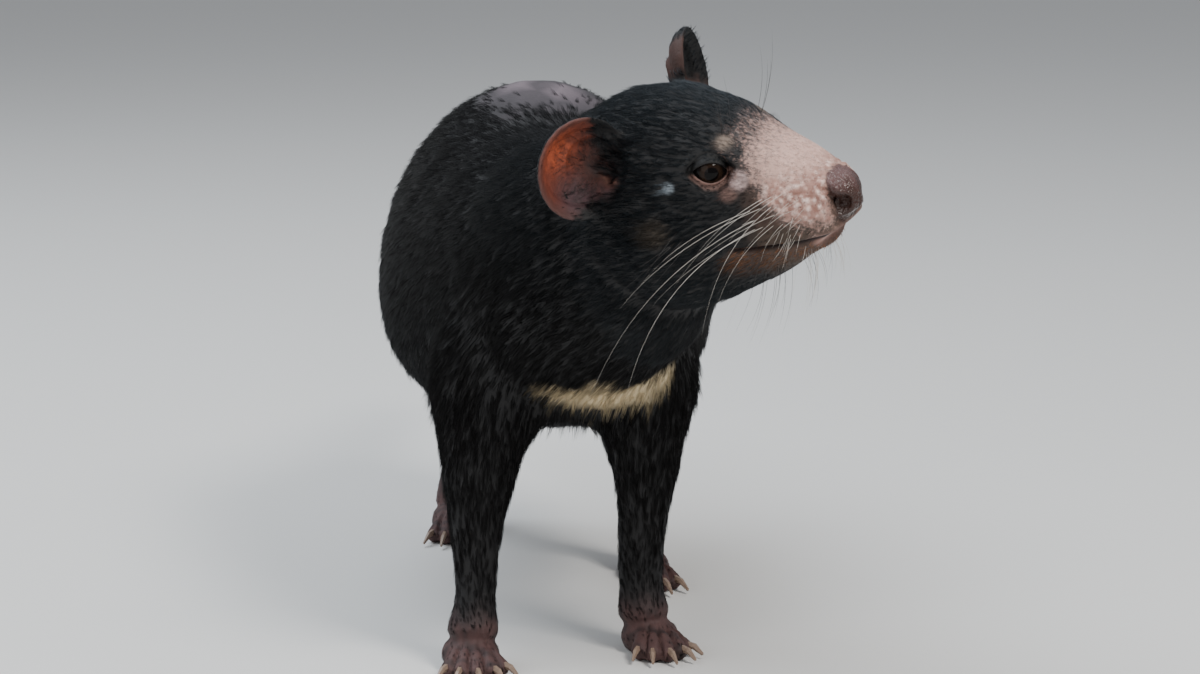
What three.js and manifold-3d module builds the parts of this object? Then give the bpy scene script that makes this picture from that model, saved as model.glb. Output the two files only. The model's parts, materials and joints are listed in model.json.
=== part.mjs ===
// A tasmanian devil, life size, in millimetres: an adult that stands and turns its head to its left.
// It faces -Y, its left is +X and +Z is up. The origin is the middle of the foot of its box, on the floor.

import * as THREE from 'three';
import { mergeVertices } from 'three/addons/utils/BufferGeometryUtils.js';
import Module from 'manifold-3d';

const wasm = await Module();
wasm.setup();

// Sizes of the whole animal
const shoulderHeight = 262;
const rumpHeight = 276;
const bellyHeight = 94;
const bodyHalfWidth = 90;
const chestFront = -44;
const rumpEnd = 352;
const tailLength = 245;
const tailBaseRadius = 26;

// The clear space between nodes that touch, and between the lips
const gap = 0.3;
const mouthGap = 0.9;

// Where the head sits, and how it is turned: to its left, a little down, and tilted to its right
const headPlace = [32, -61, 274];
const headYaw = 50;
const headPitch = -5;
const headRoll = -17;

// The head, in its own frame: -Y to the nose, +X its left, the origin between the ears
const headHalfWidth = 53;
const muzzleEnd = -99;
const eyePlace = [24.5, -48.5, -12];
const eyeRadius = 8.2;
const eyeTurn = 50;
const eyeOpening = { wide: 15, high: 8.8 };
const lidThickness = 1.5;
const nosePlace = [0, -99.5, -36];
const noseHalf = [12.5, 11, 12.5];
const noseTip = nosePlace[1] - noseHalf[1];
const noseBack = -97;
const mouthFront = [-102, -50];
const mouthCorner = [-56, -48];
const lipRadius = 1.9;
const chinSetback = 8;

// The ears: broad, rounded cups
const earHalf = { tall: 26, wide: 25, deep: 13 };
const earWall = 2.4;
const earRoot = [43, -2, -5];
const earReach = { right: 10, left: 18 };
const earTurn = { right: 30, left: 22 };
const earLift = { right: 30, left: 38 };

// Where the neck meets the trunk and the head, and where the tail meets the rump
const neckRoot = { place: [10, 4, 200], turn: [-36, 0, 14] };
const headBack = 18;
const tailRoot = 349;

// The feet and their claws
const ankleHeight = { fore: 26, hind: 34 };
const elbowHeight = { fore: 96, hind: 104 };
const clawRadius = 2.1;

const finish = (color, roughness) => new THREE.MeshStandardMaterial({ color, roughness, metalness: 0 });
const materials = {
  coat: finish(0x15161a, 0.7),
  brown: finish(0x1f1a17, 0.7),
  nose: finish(0x5d4340, 0.4),
  ear: finish(0x8d4f45, 0.6),
  eye: finish(0x120c09, 0.08),
  foot: finish(0x4a3438, 0.6),
  claw: finish(0xb79f86, 0.45),
};

const vector = (place) => new THREE.Vector3(...place);
const radians = THREE.MathUtils.degToRad;

// Turns a closed geometry into a solid that can be joined and cut
function solidOf(geometry) {
  const bare = new THREE.BufferGeometry();
  bare.setAttribute('position', geometry.getAttribute('position'));
  bare.setIndex(geometry.index);
  const merged = mergeVertices(bare, 1e-4);
  const triVerts = new Uint32Array(merged.index.array);
  const vertProperties = new Float32Array(merged.getAttribute('position').array);
  return new wasm.Manifold(new wasm.Mesh({ numProp: 3, vertProperties, triVerts }));
}

// The largest closed surface of a solid, as a geometry
function geometryOf(solid) {
  const pieces = solid.decompose();
  let largest = pieces[0];
  for (const piece of pieces) {
    if (piece.volume() > largest.volume()) largest = piece;
  }
  const mesh = largest.getMesh();
  const geometry = new THREE.BufferGeometry();
  geometry.setAttribute('position', new THREE.BufferAttribute(new Float32Array(mesh.vertProperties), 3));
  geometry.setIndex(new THREE.BufferAttribute(new Uint32Array(mesh.triVerts), 1));
  return geometry;
}

const join = (solids) => solids.reduce((whole, solid) => whole.add(solid));

// A closed body of rounded rings along a smooth line through its stations. Each station has its place (at),
// its half width (wide) and its reach above (up) and below (down) the line. grow adds to all of them, and
// square makes the rings fuller than an oval.
function loft(stations, options = {}) {
  const { side = [1, 0, 0], sides = 24, rings = 4, grow = 0, square = 2 } = options;
  const { domes = [0, 0], domeSteps = 4 } = options;
  const places = stations.map(({ at }) => vector(at));
  const halves = stations.map(({ wide, up, down = up }) => new THREE.Vector3(wide, up, down));
  const line = new THREE.CatmullRomCurve3(places, false, 'centripetal');
  const sizes = new THREE.CatmullRomCurve3(halves, false, 'centripetal');
  const circles = [];
  const addCircle = (t, shift, scale) => {
    const along = line.getTangent(t);
    const across = vector(side).addScaledVector(along, -along.dot(vector(side))).normalize();
    const upward = new THREE.Vector3().crossVectors(across, along);
    const centre = line.getPoint(t).addScaledVector(along, shift);
    const size = sizes.getPoint(t).addScalar(grow).multiplyScalar(scale);
    circles.push({ centre, across, upward, size });
  };
  const steps = (stations.length - 1) * rings;
  for (let step = domeSteps; step > 0; step--) {
    const angle = (Math.PI / 2) * (step / domeSteps);
    if (domes[0] > 0) addCircle(0, -(domes[0] + grow) * Math.sin(angle), Math.cos(angle));
  }
  for (let step = 0; step <= steps; step++) addCircle(step / steps, 0, 1);
  for (let step = 1; step <= domeSteps; step++) {
    const angle = (Math.PI / 2) * (step / domeSteps);
    if (domes[1] > 0) addCircle(1, (domes[1] + grow) * Math.sin(angle), Math.cos(angle));
  }
  return ringedGeometry(circles, sides, square);
}

// Skins a row of rings, and closes both ends at their centres
function ringedGeometry(circles, sides, square) {
  const positions = [];
  const triangles = [];
  const fuller = (share) => Math.sign(share) * Math.abs(share) ** (2 / square);
  const open = circles.filter(({ size }) => size.x > 1e-3);
  for (const { centre, across, upward, size } of open) {
    for (let side = 0; side < sides; side++) {
      const angle = (2 * Math.PI * side) / sides;
      const reach = Math.sin(angle) > 0 ? size.y : size.z;
      const point = centre.clone()
        .addScaledVector(across, size.x * fuller(Math.cos(angle)))
        .addScaledVector(upward, reach * fuller(Math.sin(angle)));
      positions.push(point.x, point.y, point.z);
    }
  }
  for (let ring = 0; ring + 1 < open.length; ring++) {
    for (let side = 0; side < sides; side++) {
      const a = ring * sides + side;
      const b = ring * sides + ((side + 1) % sides);
      triangles.push(a, a + sides, b, a + sides, b + sides, b);
    }
  }
  const first = open.length * sides;
  const lastRing = (open.length - 1) * sides;
  positions.push(...circles[0].centre.toArray(), ...circles[circles.length - 1].centre.toArray());
  for (let side = 0; side < sides; side++) {
    const next = (side + 1) % sides;
    triangles.push(first, side, next, first + 1, lastRing + next, lastRing + side);
  }
  const geometry = new THREE.BufferGeometry();
  geometry.setAttribute('position', new THREE.Float32BufferAttribute(positions, 3));
  geometry.setIndex(triangles);
  return geometry;
}

const loftSolid = (stations, options) => solidOf(loft(stations, options));

function placed(geometry, place, turn) {
  geometry.rotateX(radians(turn[0]));
  geometry.rotateY(radians(turn[1]));
  geometry.rotateZ(radians(turn[2]));
  geometry.translate(...place);
  return solidOf(geometry);
}

// A ball stretched to three half sizes
function ovalSolid(half, place = [0, 0, 0], segments = 18, turn = [0, 0, 0]) {
  const geometry = new THREE.SphereGeometry(1, segments, Math.round(segments * 0.6));
  geometry.scale(...half);
  return placed(geometry, place, turn);
}

function blockSolid(size, place, turn = [0, 0, 0]) {
  return placed(new THREE.BoxGeometry(...size), place, turn);
}

// A flat outline drawn in X and Z, and carried along Y between two places
function slabSolid(outline, from, to) {
  const shape = new THREE.Shape(outline.map(([x, z]) => new THREE.Vector2(x, z)));
  const geometry = new THREE.ExtrudeGeometry(shape, { depth: to - from, bevelEnabled: false });
  geometry.rotateX(Math.PI / 2);
  geometry.translate(0, to, 0);
  return solidOf(geometry);
}

// An outline with each corner moved away from the middle
function widened(outline, distance) {
  const middle = new THREE.Vector2();
  for (const [x, z] of outline) middle.add(new THREE.Vector2(x, z).divideScalar(outline.length));
  return outline.map(([x, z]) => {
    const corner = new THREE.Vector2(x, z);
    const outward = corner.clone().sub(middle).setLength(distance);
    return corner.add(outward).toArray();
  });
}

// Parts a solid with a block: what lies in the block, and the rest
function partWith(solid, size, place, turn) {
  const inner = blockSolid(size.map((length) => length - gap), place, turn);
  const outer = blockSolid(size.map((length) => length + gap), place, turn);
  return [solid.intersect(inner), solid.subtract(outer)];
}

// Parts a solid at a height: what lies below, and what lies above
function partAt(solid, height) {
  const reach = 900;
  const below = blockSolid([reach, reach, reach], [0, 0, height - (reach + gap) / 2]);
  const above = blockSolid([reach, reach, reach], [0, 0, height + (reach + gap) / 2]);
  return [solid.intersect(below), solid.intersect(above)];
}

const devil = new THREE.Group();

function addNode(name, solid, material) {
  const mesh = new THREE.Mesh(geometryOf(solid), material);
  mesh.name = name;
  devil.add(mesh);
}

// The trunk: a barrel from the chest to the rump, widest below its middle
function trunkStation(y, x, top, bottom, wide, belt = 0.4) {
  const middle = bottom + (top - bottom) * belt;
  return { at: [x, y, middle], wide, up: top - middle, down: middle - bottom };
}

const trunk = loftSolid([
  trunkStation(chestFront + 12, 8, 200, 132, 46, 0.5),
  trunkStation(0, 6, shoulderHeight - 12, 118, 62, 0.5),
  trunkStation(60, 2, shoulderHeight, 108, 77, 0.44),
  trunkStation(130, 0, shoulderHeight + 4, bellyHeight, bodyHalfWidth - 1, 0.38),
  trunkStation(210, 0, rumpHeight - 3, bellyHeight + 2, bodyHalfWidth, 0.38),
  trunkStation(280, 5, rumpHeight, bellyHeight + 20, bodyHalfWidth - 17, 0.34),
  trunkStation(325, 6, rumpHeight - 20, bellyHeight + 44, 52, 0.4),
], { sides: 26, rings: 3, domes: [14, rumpEnd - 325], domeSteps: 3, square: 2.1 });

// The neck: thick, from the shoulders up to the back of the head
const neckLoft = { side: [0.85, 0.5, 0], sides: 24, rings: 2, domes: [10, 16], domeSteps: 2 };
const neckStations = [
  { at: [4, 60, 190], wide: 66, up: 60, down: 70 },
  { at: [9, 10, 198], wide: 63, up: 65, down: 68 },
  { at: [20, -26, 214], wide: 58, up: 63, down: 58 },
  { at: [33, -54, 236], wide: 50, up: 50, down: 48 },
];
const neck = loftSolid(neckStations, neckLoft);

// The tail: thick at its root, tapered, held out behind and a little down
const tail = loftSolid([
  { at: [5, rumpEnd - 40, 212], wide: tailBaseRadius + 10, up: tailBaseRadius + 8 },
  { at: [5, rumpEnd - 4, 203], wide: tailBaseRadius + 1, up: tailBaseRadius + 2 },
  { at: [6, rumpEnd + tailLength * 0.3, 184], wide: tailBaseRadius - 5, up: tailBaseRadius - 4 },
  { at: [5, rumpEnd + tailLength * 0.65, 158], wide: 14, up: 14 },
  { at: [2, rumpEnd + tailLength - 8, 136], wide: 7.5, up: 7.5 },
], { sides: 16, rings: 3, domes: [8, 8], domeSteps: 3 });

// The head, in its own frame. A station gives the height of its top and its underside.
function headStation(y, top, bottom, wide, belt = 0.45) {
  const middle = bottom + (top - bottom) * belt;
  return { at: [0, y, middle], wide, up: top - middle, down: middle - bottom };
}

const headStations = [
  headStation(40, 2, -84, headHalfWidth - 4, 0.5),
  headStation(10, 19, -88, headHalfWidth, 0.48),
  headStation(-16, 20, -88, headHalfWidth - 1),
  headStation(-40, 13, -82, headHalfWidth - 9),
  headStation(-60, 3, -75, 34),
  headStation(-78, -8, -66, 26),
  headStation(-92, -17, -60, 21),
  headStation(muzzleEnd, -22, -56, 18),
];
const headLoft = { side: [-1, 0, 0], sides: 28, rings: 3, domes: [10, 5], domeSteps: 3, square: 2.2 };
const headTurn = new THREE.Matrix4()
  .makeRotationFromEuler(new THREE.Euler(radians(headPitch), radians(headRoll), radians(headYaw), 'ZXY'))
  .setPosition(...headPlace);
const mirrored = (place, hand) => [place[0] * hand, place[1], place[2]];
const posed = (solid) => solid.transform(headTurn.elements);
const handName = (hand) => (hand < 0 ? 'right' : 'left');

// A point of the head's skin, on the side that hand names
const headSkin = new THREE.Mesh(loft(headStations, headLoft), new THREE.MeshBasicMaterial());
function skinPoint(y, z, hand) {
  const caster = new THREE.Raycaster(new THREE.Vector3(hand * 100, y, z), new THREE.Vector3(-hand, 0, 0));
  const [hit] = caster.intersectObject(headSkin);
  return hit.point;
}

// A lip: a thin roll along the mouth, from one corner round the front to the other
function lipSolid(rise, setback) {
  const shares = [0, 0.3, 0.6, 0.9];
  const sidePoint = (hand, share) => {
    const y = THREE.MathUtils.lerp(mouthCorner[0], mouthFront[0] + 6, share);
    const z = THREE.MathUtils.lerp(mouthCorner[1], mouthFront[1], share);
    const inward = lipRadius * 0.6 + setback * share * 0.4;
    return skinPoint(y, z + rise, hand).add(new THREE.Vector3(-hand * inward, setback * share, 0));
  };
  const front = new THREE.Vector3(0, mouthFront[0] + lipRadius * 0.6 + setback, mouthFront[1] + rise);
  const rightSide = shares.map((share) => sidePoint(-1, share));
  const leftSide = shares.map((share) => sidePoint(1, share)).reverse();
  const extrudePath = new THREE.CatmullRomCurve3([...rightSide, front, ...leftSide]);
  const circle = new THREE.Shape().absarc(0, 0, lipRadius, 0, Math.PI * 2);
  return solidOf(new THREE.ExtrudeGeometry(circle, { extrudePath, steps: 18, curveSegments: 3 }));
}

// An eye opening: an almond cut through the lids along the way the eye looks
function eyeCutter(hand) {
  const { wide, high } = eyeOpening;
  const almond = new THREE.Shape();
  almond.moveTo(-wide / 2, -0.5);
  almond.bezierCurveTo(-wide / 4, high * 0.72, wide / 5, high * 0.72, wide / 2, 0.5);
  almond.bezierCurveTo(wide / 5, -high * 0.62, -wide / 4, -high * 0.72, -wide / 2, -0.5);
  const geometry = new THREE.ExtrudeGeometry(almond, { depth: 30, bevelEnabled: false, curveSegments: 7 });
  return placed(geometry, mirrored(eyePlace, hand), [90, 0, hand * eyeTurn]);
}

let head = join([
  loftSolid(headStations, headLoft),
  lipSolid(lipRadius * 0.8, 0),
  lipSolid(-lipRadius * 0.8, chinSetback),
  ovalSolid(noseHalf, nosePlace, 16),
]);
for (const hand of [-1, 1]) {
  const centre = mirrored(eyePlace, hand);
  const lidReach = eyeRadius + lidThickness;
  const lid = ovalSolid([lidReach, lidReach, lidReach - 1], centre, 16);
  const socketReach = eyeRadius + gap;
  const socket = ovalSolid([socketReach, socketReach, socketReach], centre, 14);
  head = head.add(lid).subtract(socket).subtract(eyeCutter(hand));
  const eye = ovalSolid([eyeRadius, eyeRadius, eyeRadius], centre, 14);
  addNode(`eye_${handName(hand)}`, posed(eye), materials.eye);
}

// The nose pad, with a nostril that runs out to each side and a groove down its front
const noseBlock = { size: [40, 30, 28], place: [0, noseBack - 15, nosePlace[2] + 1.5], turn: [-8, 0, 0] };
const [noseWhole, headWithoutNose] = partWith(head, noseBlock.size, noseBlock.place, noseBlock.turn);
const nostrilCuts = [-1, 1].flatMap((hand) => [
  ovalSolid([3, 5, 2.8], mirrored([6.2, noseTip + 1, -37], hand), 8),
  ovalSolid([5.5, 2, 1.4], mirrored([10.5, noseTip + 4.5, -35], hand), 8, [0, hand * 20, hand * 40]),
]);
const philtrum = blockSolid([0.9, 3, 12], [0, noseTip - 0.5, -44]);
addNode('nose', posed(noseWhole.subtract(join([...nostrilCuts, philtrum]))), materials.nose);

// The lower jaw: what lies below the line of the mouth, back to below the cheek
function jawSlab(rise) {
  const outline = [
    [-140, mouthFront[1] + rise],
    [mouthFront[0], mouthFront[1] + rise],
    [mouthCorner[0], mouthCorner[1] + rise],
    [-34, -64 + rise],
    [-14, -110 + rise],
    [-140, -110],
  ];
  return slabSolid(outline, -80, 80).rotate([0, 0, 90]);
}
const chinPlace = [0, mouthFront[0] + chinSetback - 12, mouthFront[1] - 20];
const chinCutter = blockSolid([60, 20, 40], chinPlace, [-14, 0, 0]);
const lowerJaw = headWithoutNose.intersect(jawSlab(-mouthGap / 2)).subtract(chinCutter);
addNode('lower_jaw', posed(lowerJaw), materials.brown);

// An ear: a broad, rounded bowl that opens forward and outward
function earSolid(hand) {
  const { tall, wide, deep } = earHalf;
  const name = handName(hand);
  const bowl = ovalSolid([wide, deep, tall], [0, 0, 0], 18);
  const hollow = ovalSolid([wide - earWall, deep - earWall, tall - earWall], [0, -2.5, 0], 18);
  const front = blockSolid([90, 40, 90], [0, -22, 0]);
  const cup = bowl.subtract(hollow).subtract(front).translate([hand * earReach[name], 0, 0]);
  const turn = new THREE.Euler(0, radians(-hand * earLift[name]), radians(hand * earTurn[name]), 'ZXY');
  const turned = new THREE.Matrix4().makeRotationFromEuler(turn).setPosition(...mirrored(earRoot, hand));
  return cup.transform(turned.elements);
}
const grownHead = posed(loftSolid(headStations, { ...headLoft, grow: gap }));
const grownNeck = loftSolid(neckStations, { ...neckLoft, grow: gap });
for (const hand of [-1, 1]) {
  const ear = posed(earSolid(hand)).subtract(grownHead).subtract(grownNeck);
  addNode(`ear_${handName(hand)}`, ear, materials.ear);
}
const upperHead = posed(headWithoutNose.subtract(jawSlab(mouthGap / 2)));

// A leg is one smooth line of rings from the shoulder or hip down to the ankle. block is the outline that
// parts it from the trunk, seen from the front. foot is the middle of its sole and the way it points.
const legs = {
  fore_right: {
    hand: -1,
    line: [
      { at: [-36, 20, 190], wide: 22, up: 34, down: 30 },
      { at: [-38, 10, 142], wide: 34, up: 30, down: 28 },
      { at: [-43, 4, 108], wide: 24, up: 22, down: 21 },
      { at: [-46.5, -4, 70], wide: 15, up: 15, down: 14 },
      { at: [-47, -9, 38], wide: 12, up: 12, down: 11 },
      { at: [-49, -14, 18], wide: 13, up: 12, down: 12 },
    ],
    from: -60,
    to: 62,
    foot: { at: [-50, -18, 0], turn: 4, toes: 5, long: 30, wide: 15 },
  },
  fore_left: {
    hand: 1,
    line: [
      { at: [40, 26, 190], wide: 22, up: 34, down: 30 },
      { at: [41, 26, 142], wide: 31, up: 30, down: 28 },
      { at: [42, 24, 108], wide: 22, up: 22, down: 21 },
      { at: [40, 22, 70], wide: 14.5, up: 14, down: 14 },
      { at: [38.5, 20, 38], wide: 13, up: 13, down: 12 },
      { at: [40, 17, 18], wide: 13, up: 12, down: 13 },
    ],
    from: -60,
    to: 72,
    foot: { at: [43, 11, 0], turn: 15, toes: 5, long: 28, wide: 15 },
  },
  hind_right: {
    hand: -1,
    line: [
      { at: [-36, 258, 190], wide: 30, up: 42, down: 50 },
      { at: [-43, 260, 150], wide: 31, up: 42, down: 44 },
      { at: [-34, 262, 112], wide: 21, up: 28, down: 30 },
      { at: [-33, 292, 72], wide: 15, up: 17, down: 18 },
      { at: [-38, 321, 42], wide: 11, up: 12, down: 12 },
      { at: [-42, 319, 14], wide: 12, up: 11, down: 16 },
    ],
    from: 175,
    to: 346,
    foot: { at: [-44, 302, 0], turn: -4, toes: 4, long: 36, wide: 13 },
  },
  hind_left: {
    hand: 1,
    line: [
      { at: [40, 250, 190], wide: 30, up: 44, down: 50 },
      { at: [47, 238, 150], wide: 31, up: 44, down: 42 },
      { at: [46, 208, 112], wide: 21, up: 30, down: 26 },
      { at: [49, 204, 76], wide: 16, up: 18, down: 16 },
      { at: [54, 206, 42], wide: 11, up: 13, down: 12 },
      { at: [56, 193, 14], wide: 12, up: 13, down: 16 },
    ],
    from: 150,
    to: 330,
    foot: { at: [57, 172, 0], turn: 4, toes: 4, long: 36, wide: 13 },
  },
};
const legLoft = { sides: 16, rings: 3, domes: [16, 6], domeSteps: 2 };

// The outline that parts a leg from the trunk, seen from the front
function legOutline(hand, hind) {
  const topInner = hind ? 118 : 122;
  const topOuter = hind ? 178 : 158;
  const outer = 110;
  const inner = 5;
  return [[hand * inner, -20], [hand * outer, -20], [hand * outer, topOuter], [hand * inner, topInner]];
}

// A place in the foot's own frame, turned and set down where the foot stands
function onFoot(foot, angle, distance, height) {
  const way = radians(foot.turn + angle);
  return [foot.at[0] + Math.sin(way) * distance, foot.at[1] - Math.cos(way) * distance, height];
}

const toeLoft = { sides: 7, rings: 1, domes: [0, 2], domeSteps: 2 };
const clawLoft = { sides: 6, rings: 1, domes: [0, 0.6], domeSteps: 1 };

// The foot: a low palm, its toes fanned out in front, and a claw sunk in the tip of each toe
function footParts(foot, ankle) {
  const palmHalf = [foot.wide, foot.long * 0.62, 11];
  const palm = ovalSolid(palmHalf, [foot.at[0], foot.at[1] + 4, 7], 12, [0, 0, foot.turn]);
  const toes = [];
  const claws = [];
  const sockets = [];
  const spread = foot.toes === 5 ? 19 : 15;
  for (let toe = 0; toe < foot.toes; toe++) {
    const place = toe - (foot.toes - 1) / 2;
    const angle = place * spread;
    const length = foot.long * (1.02 - 0.06 * Math.abs(place) ** 1.6);
    const side = [-Math.cos(radians(foot.turn + angle)), -Math.sin(radians(foot.turn + angle)), 0];
    toes.push(loftSolid([
      { at: onFoot(foot, angle, length * 0.2, 8), wide: 5, up: 6, down: 9 },
      { at: onFoot(foot, angle, length * 0.62, 7.5), wide: 4.8, up: 5, down: 8 },
      { at: onFoot(foot, angle, length * 0.93, 5), wide: 4.1, up: 3.6, down: 5.6 },
    ], { ...toeLoft, side }));
    const clawStations = [
      { at: onFoot(foot, angle, length * 0.86, 6.6), wide: clawRadius * 0.8, up: clawRadius },
      { at: onFoot(foot, angle, length * 1.1, 6), wide: clawRadius * 0.7, up: clawRadius * 0.85 },
      { at: onFoot(foot, angle, length * 1.3, 2.6), wide: 0.7, up: 0.9 },
    ];
    claws.push(loftSolid(clawStations, { ...clawLoft, side }));
    sockets.push(loftSolid(clawStations, { ...clawLoft, side, grow: gap }));
  }
  const [, aboveFloor] = partAt(join([ankle, palm, ...toes]), -gap / 2);
  return { sole: aboveFloor.subtract(join(sockets)), claws };
}

const wholeLegs = Object.values(legs).map(({ line }) => loftSolid(line, legLoft));
let body = join([trunk, neck, tail, ...wholeLegs]);

for (const [name, { hand, line, from, to, foot }] of Object.entries(legs)) {
  const hind = name.startsWith('hind');
  const kind = hind ? 'hind' : 'fore';
  const outline = legOutline(hand, hind);
  const leg = loftSolid(line, legLoft).intersect(slabSolid(outline, from, to));
  const socket = loftSolid(line, { ...legLoft, grow: gap });
  body = body.subtract(socket.intersect(slabSolid(widened(outline, 2 * gap), from - gap, to + gap)));
  const [below, upper] = partAt(leg, elbowHeight[kind]);
  const [ankle, lower] = partAt(below, ankleHeight[kind]);
  const { sole, claws } = footParts(foot, ankle);
  addNode(`leg_${name}_upper`, upper, materials.coat);
  addNode(`leg_${name}_lower`, lower, materials.coat);
  addNode(`foot_${name}`, sole, materials.foot);
  claws.forEach((claw, index) => addNode(`claw_${name}_${index + 1}`, claw, materials.claw));
}

// What is left of the body is parted into tail, head, neck and torso
const [tailPart, bodyWithoutTail] = partWith(body, [200, 400, 300], [0, tailRoot + 200, 180], [0, 0, 0]);
addNode('tail', tailPart, materials.coat);

const headReach = 200;
function headBlock(growth) {
  const side = headReach + growth;
  return posed(blockSolid([side, side, side], [0, headBack - headReach / 2, -35]));
}
const noseSolid = blockSolid(noseBlock.size, noseBlock.place, noseBlock.turn);
const jawAndNose = posed(join([jawSlab(mouthGap / 2), noseSolid]));
const headFlesh = bodyWithoutTail.intersect(headBlock(-gap)).subtract(jawAndNose);
addNode('head', upperHead.intersect(headBlock(-gap)).add(headFlesh), materials.coat);

const trunkAndNeck = bodyWithoutTail.add(upperHead).subtract(headBlock(gap)).subtract(jawAndNose);
const neckBlock = new THREE.Matrix4()
  .makeRotationFromEuler(new THREE.Euler(...neckRoot.turn.map(radians), 'ZYX'))
  .setPosition(...neckRoot.place);
function ahead(distance) {
  return blockSolid([400, 300, 400], [0, -150 - distance, 0]).transform(neckBlock.elements);
}
addNode('neck', trunkAndNeck.intersect(ahead(gap / 2)), materials.coat);
addNode('torso', trunkAndNeck.subtract(ahead(-gap / 2)), materials.coat);

// The origin is the middle of the box's foot
const box = new THREE.Box3().setFromObject(devil);
const middle = box.getCenter(new THREE.Vector3());
devil.position.set(-middle.x, -middle.y, -box.min.z);

export default devil;
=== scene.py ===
import json
import math
import bmesh
import bpy
import numpy as np
from mathutils import Matrix, Vector
from mathutils.bvhtree import BVHTree

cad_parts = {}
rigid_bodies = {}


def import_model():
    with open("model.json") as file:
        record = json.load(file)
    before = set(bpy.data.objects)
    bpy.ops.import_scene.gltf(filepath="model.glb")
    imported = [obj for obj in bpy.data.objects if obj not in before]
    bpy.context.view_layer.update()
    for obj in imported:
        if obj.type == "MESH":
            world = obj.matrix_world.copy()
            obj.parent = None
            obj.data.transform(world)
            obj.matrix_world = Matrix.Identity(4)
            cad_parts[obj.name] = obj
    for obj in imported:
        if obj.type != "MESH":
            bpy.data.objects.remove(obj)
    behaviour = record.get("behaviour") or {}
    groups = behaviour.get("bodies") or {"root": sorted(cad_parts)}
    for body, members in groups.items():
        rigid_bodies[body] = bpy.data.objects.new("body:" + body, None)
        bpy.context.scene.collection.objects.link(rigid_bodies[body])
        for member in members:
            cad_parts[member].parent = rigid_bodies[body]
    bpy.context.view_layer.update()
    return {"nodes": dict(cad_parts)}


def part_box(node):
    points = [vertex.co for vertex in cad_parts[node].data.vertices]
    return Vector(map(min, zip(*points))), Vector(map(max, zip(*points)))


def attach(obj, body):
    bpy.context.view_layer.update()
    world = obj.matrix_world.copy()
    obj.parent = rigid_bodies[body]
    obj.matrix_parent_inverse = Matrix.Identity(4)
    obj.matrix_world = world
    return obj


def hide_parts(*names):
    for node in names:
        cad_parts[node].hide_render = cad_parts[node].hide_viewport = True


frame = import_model()
mm = 0.001

# The head's own frame: x to the animal's left, -y out along the muzzle, z up through the crown.
headSettings = {
    "yaw": 50.0,
    "pitch": -5.0,
    "roll": -17.0,
    "eyeForward": 48.5 * mm,
    "eyeDrop": 12.0 * mm,
    "eyeRadius": 8.2 * mm,
}


def midOf(node):
    low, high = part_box(node)
    return (low + high) / 2


headTurn = (
    Matrix.Rotation(math.radians(headSettings["yaw"]), 3, "Z")
    @ Matrix.Rotation(math.radians(headSettings["pitch"]), 3, "X")
    @ Matrix.Rotation(math.radians(headSettings["roll"]), 3, "Y")
)
betweenEyes = (midOf("eye_right") + midOf("eye_left")) / 2
headAt = betweenEyes - headTurn @ Vector((0, -headSettings["eyeForward"], -headSettings["eyeDrop"]))
headAxes = np.array(headTurn)


def toHead(points):
    return (points - np.array(headAt)) @ headAxes / mm


def fromHead(points):
    return (np.asarray(points, float) * mm) @ headAxes.T + np.array(headAt)


def dirFromHead(vectors):
    return np.asarray(vectors, float) @ headAxes.T


def rising(value, start, end):
    t = np.clip((value - start) / (end - start), 0, 1)
    return t * t * (3 - 2 * t)


def hill(distance, width):
    return np.exp(-((distance / width) ** 2))


def unit(vectors):
    return vectors / np.maximum(np.linalg.norm(vectors, axis=-1, keepdims=True), 1e-9)


def vectorsOf(mesh, field):
    flat = np.zeros(len(mesh.vertices) * 3, np.float32)
    mesh.vertices.foreach_get(field, flat)
    return flat.reshape(-1, 3).astype(float)


def pointsOf(mesh):
    return vectorsOf(mesh, "co")


def normalsOf(mesh):
    return vectorsOf(mesh, "normal")


def edgesOf(mesh):
    flat = np.zeros(len(mesh.edges) * 2, np.int32)
    mesh.edges.foreach_get("vertices", flat)
    return flat.reshape(-1, 2)


def facesOf(mesh):
    return [tuple(p.vertices) for p in mesh.polygons]


def treeOf(mesh):
    return BVHTree.FromPolygons([Vector(p) for p in pointsOf(mesh)], facesOf(mesh))


def setPoints(mesh, points):
    mesh.vertices.foreach_set("co", points.astype(np.float32).ravel())
    mesh.update()


def neighbourMean(values, edges):
    count = len(values)
    ends = np.concatenate((edges[:, 0], edges[:, 1]))
    others = np.concatenate((edges[:, 1], edges[:, 0]))
    share = np.maximum(np.bincount(ends, minlength=count), 1)
    if values.ndim == 1:
        return np.bincount(ends, values[others], count) / share
    return np.stack([np.bincount(ends, values[others, i], count) / share for i in range(values.shape[1])], 1)


def relaxed(values, edges, rounds, weight=1.0):
    for _ in range(rounds):
        values = values + (neighbourMean(values, edges) - values) * weight
    return values


def addAttribute(mesh, name, kind, domain, values):
    layer = mesh.attributes.get(name) or mesh.attributes.new(name, kind, domain)
    field = {"FLOAT_VECTOR": "vector", "FLOAT2": "vector", "FLOAT_COLOR": "color"}.get(kind, "value")
    layer.data.foreach_set(field, np.ascontiguousarray(values).ravel())


def newObject(name, mesh):
    piece = bpy.data.objects.new(name, mesh)
    bpy.context.scene.collection.objects.link(piece)
    return piece


def meshOf(name, points, faces):
    mesh = bpy.data.meshes.new(name)
    mesh.from_pydata([tuple(p) for p in points], [], [tuple(f) for f in faces])
    mesh.update()
    return mesh


def smoothShade(mesh):
    mesh.polygons.foreach_set("use_smooth", np.ones(len(mesh.polygons), bool))


def frozen(piece):
    graph = bpy.context.evaluated_depsgraph_get()
    mesh = bpy.data.meshes.new_from_object(
        piece.evaluated_get(graph), preserve_all_data_layers=True, depsgraph=graph
    )
    piece.modifiers.clear()
    piece.data = mesh
    mesh.name = piece.name
    return piece


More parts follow.
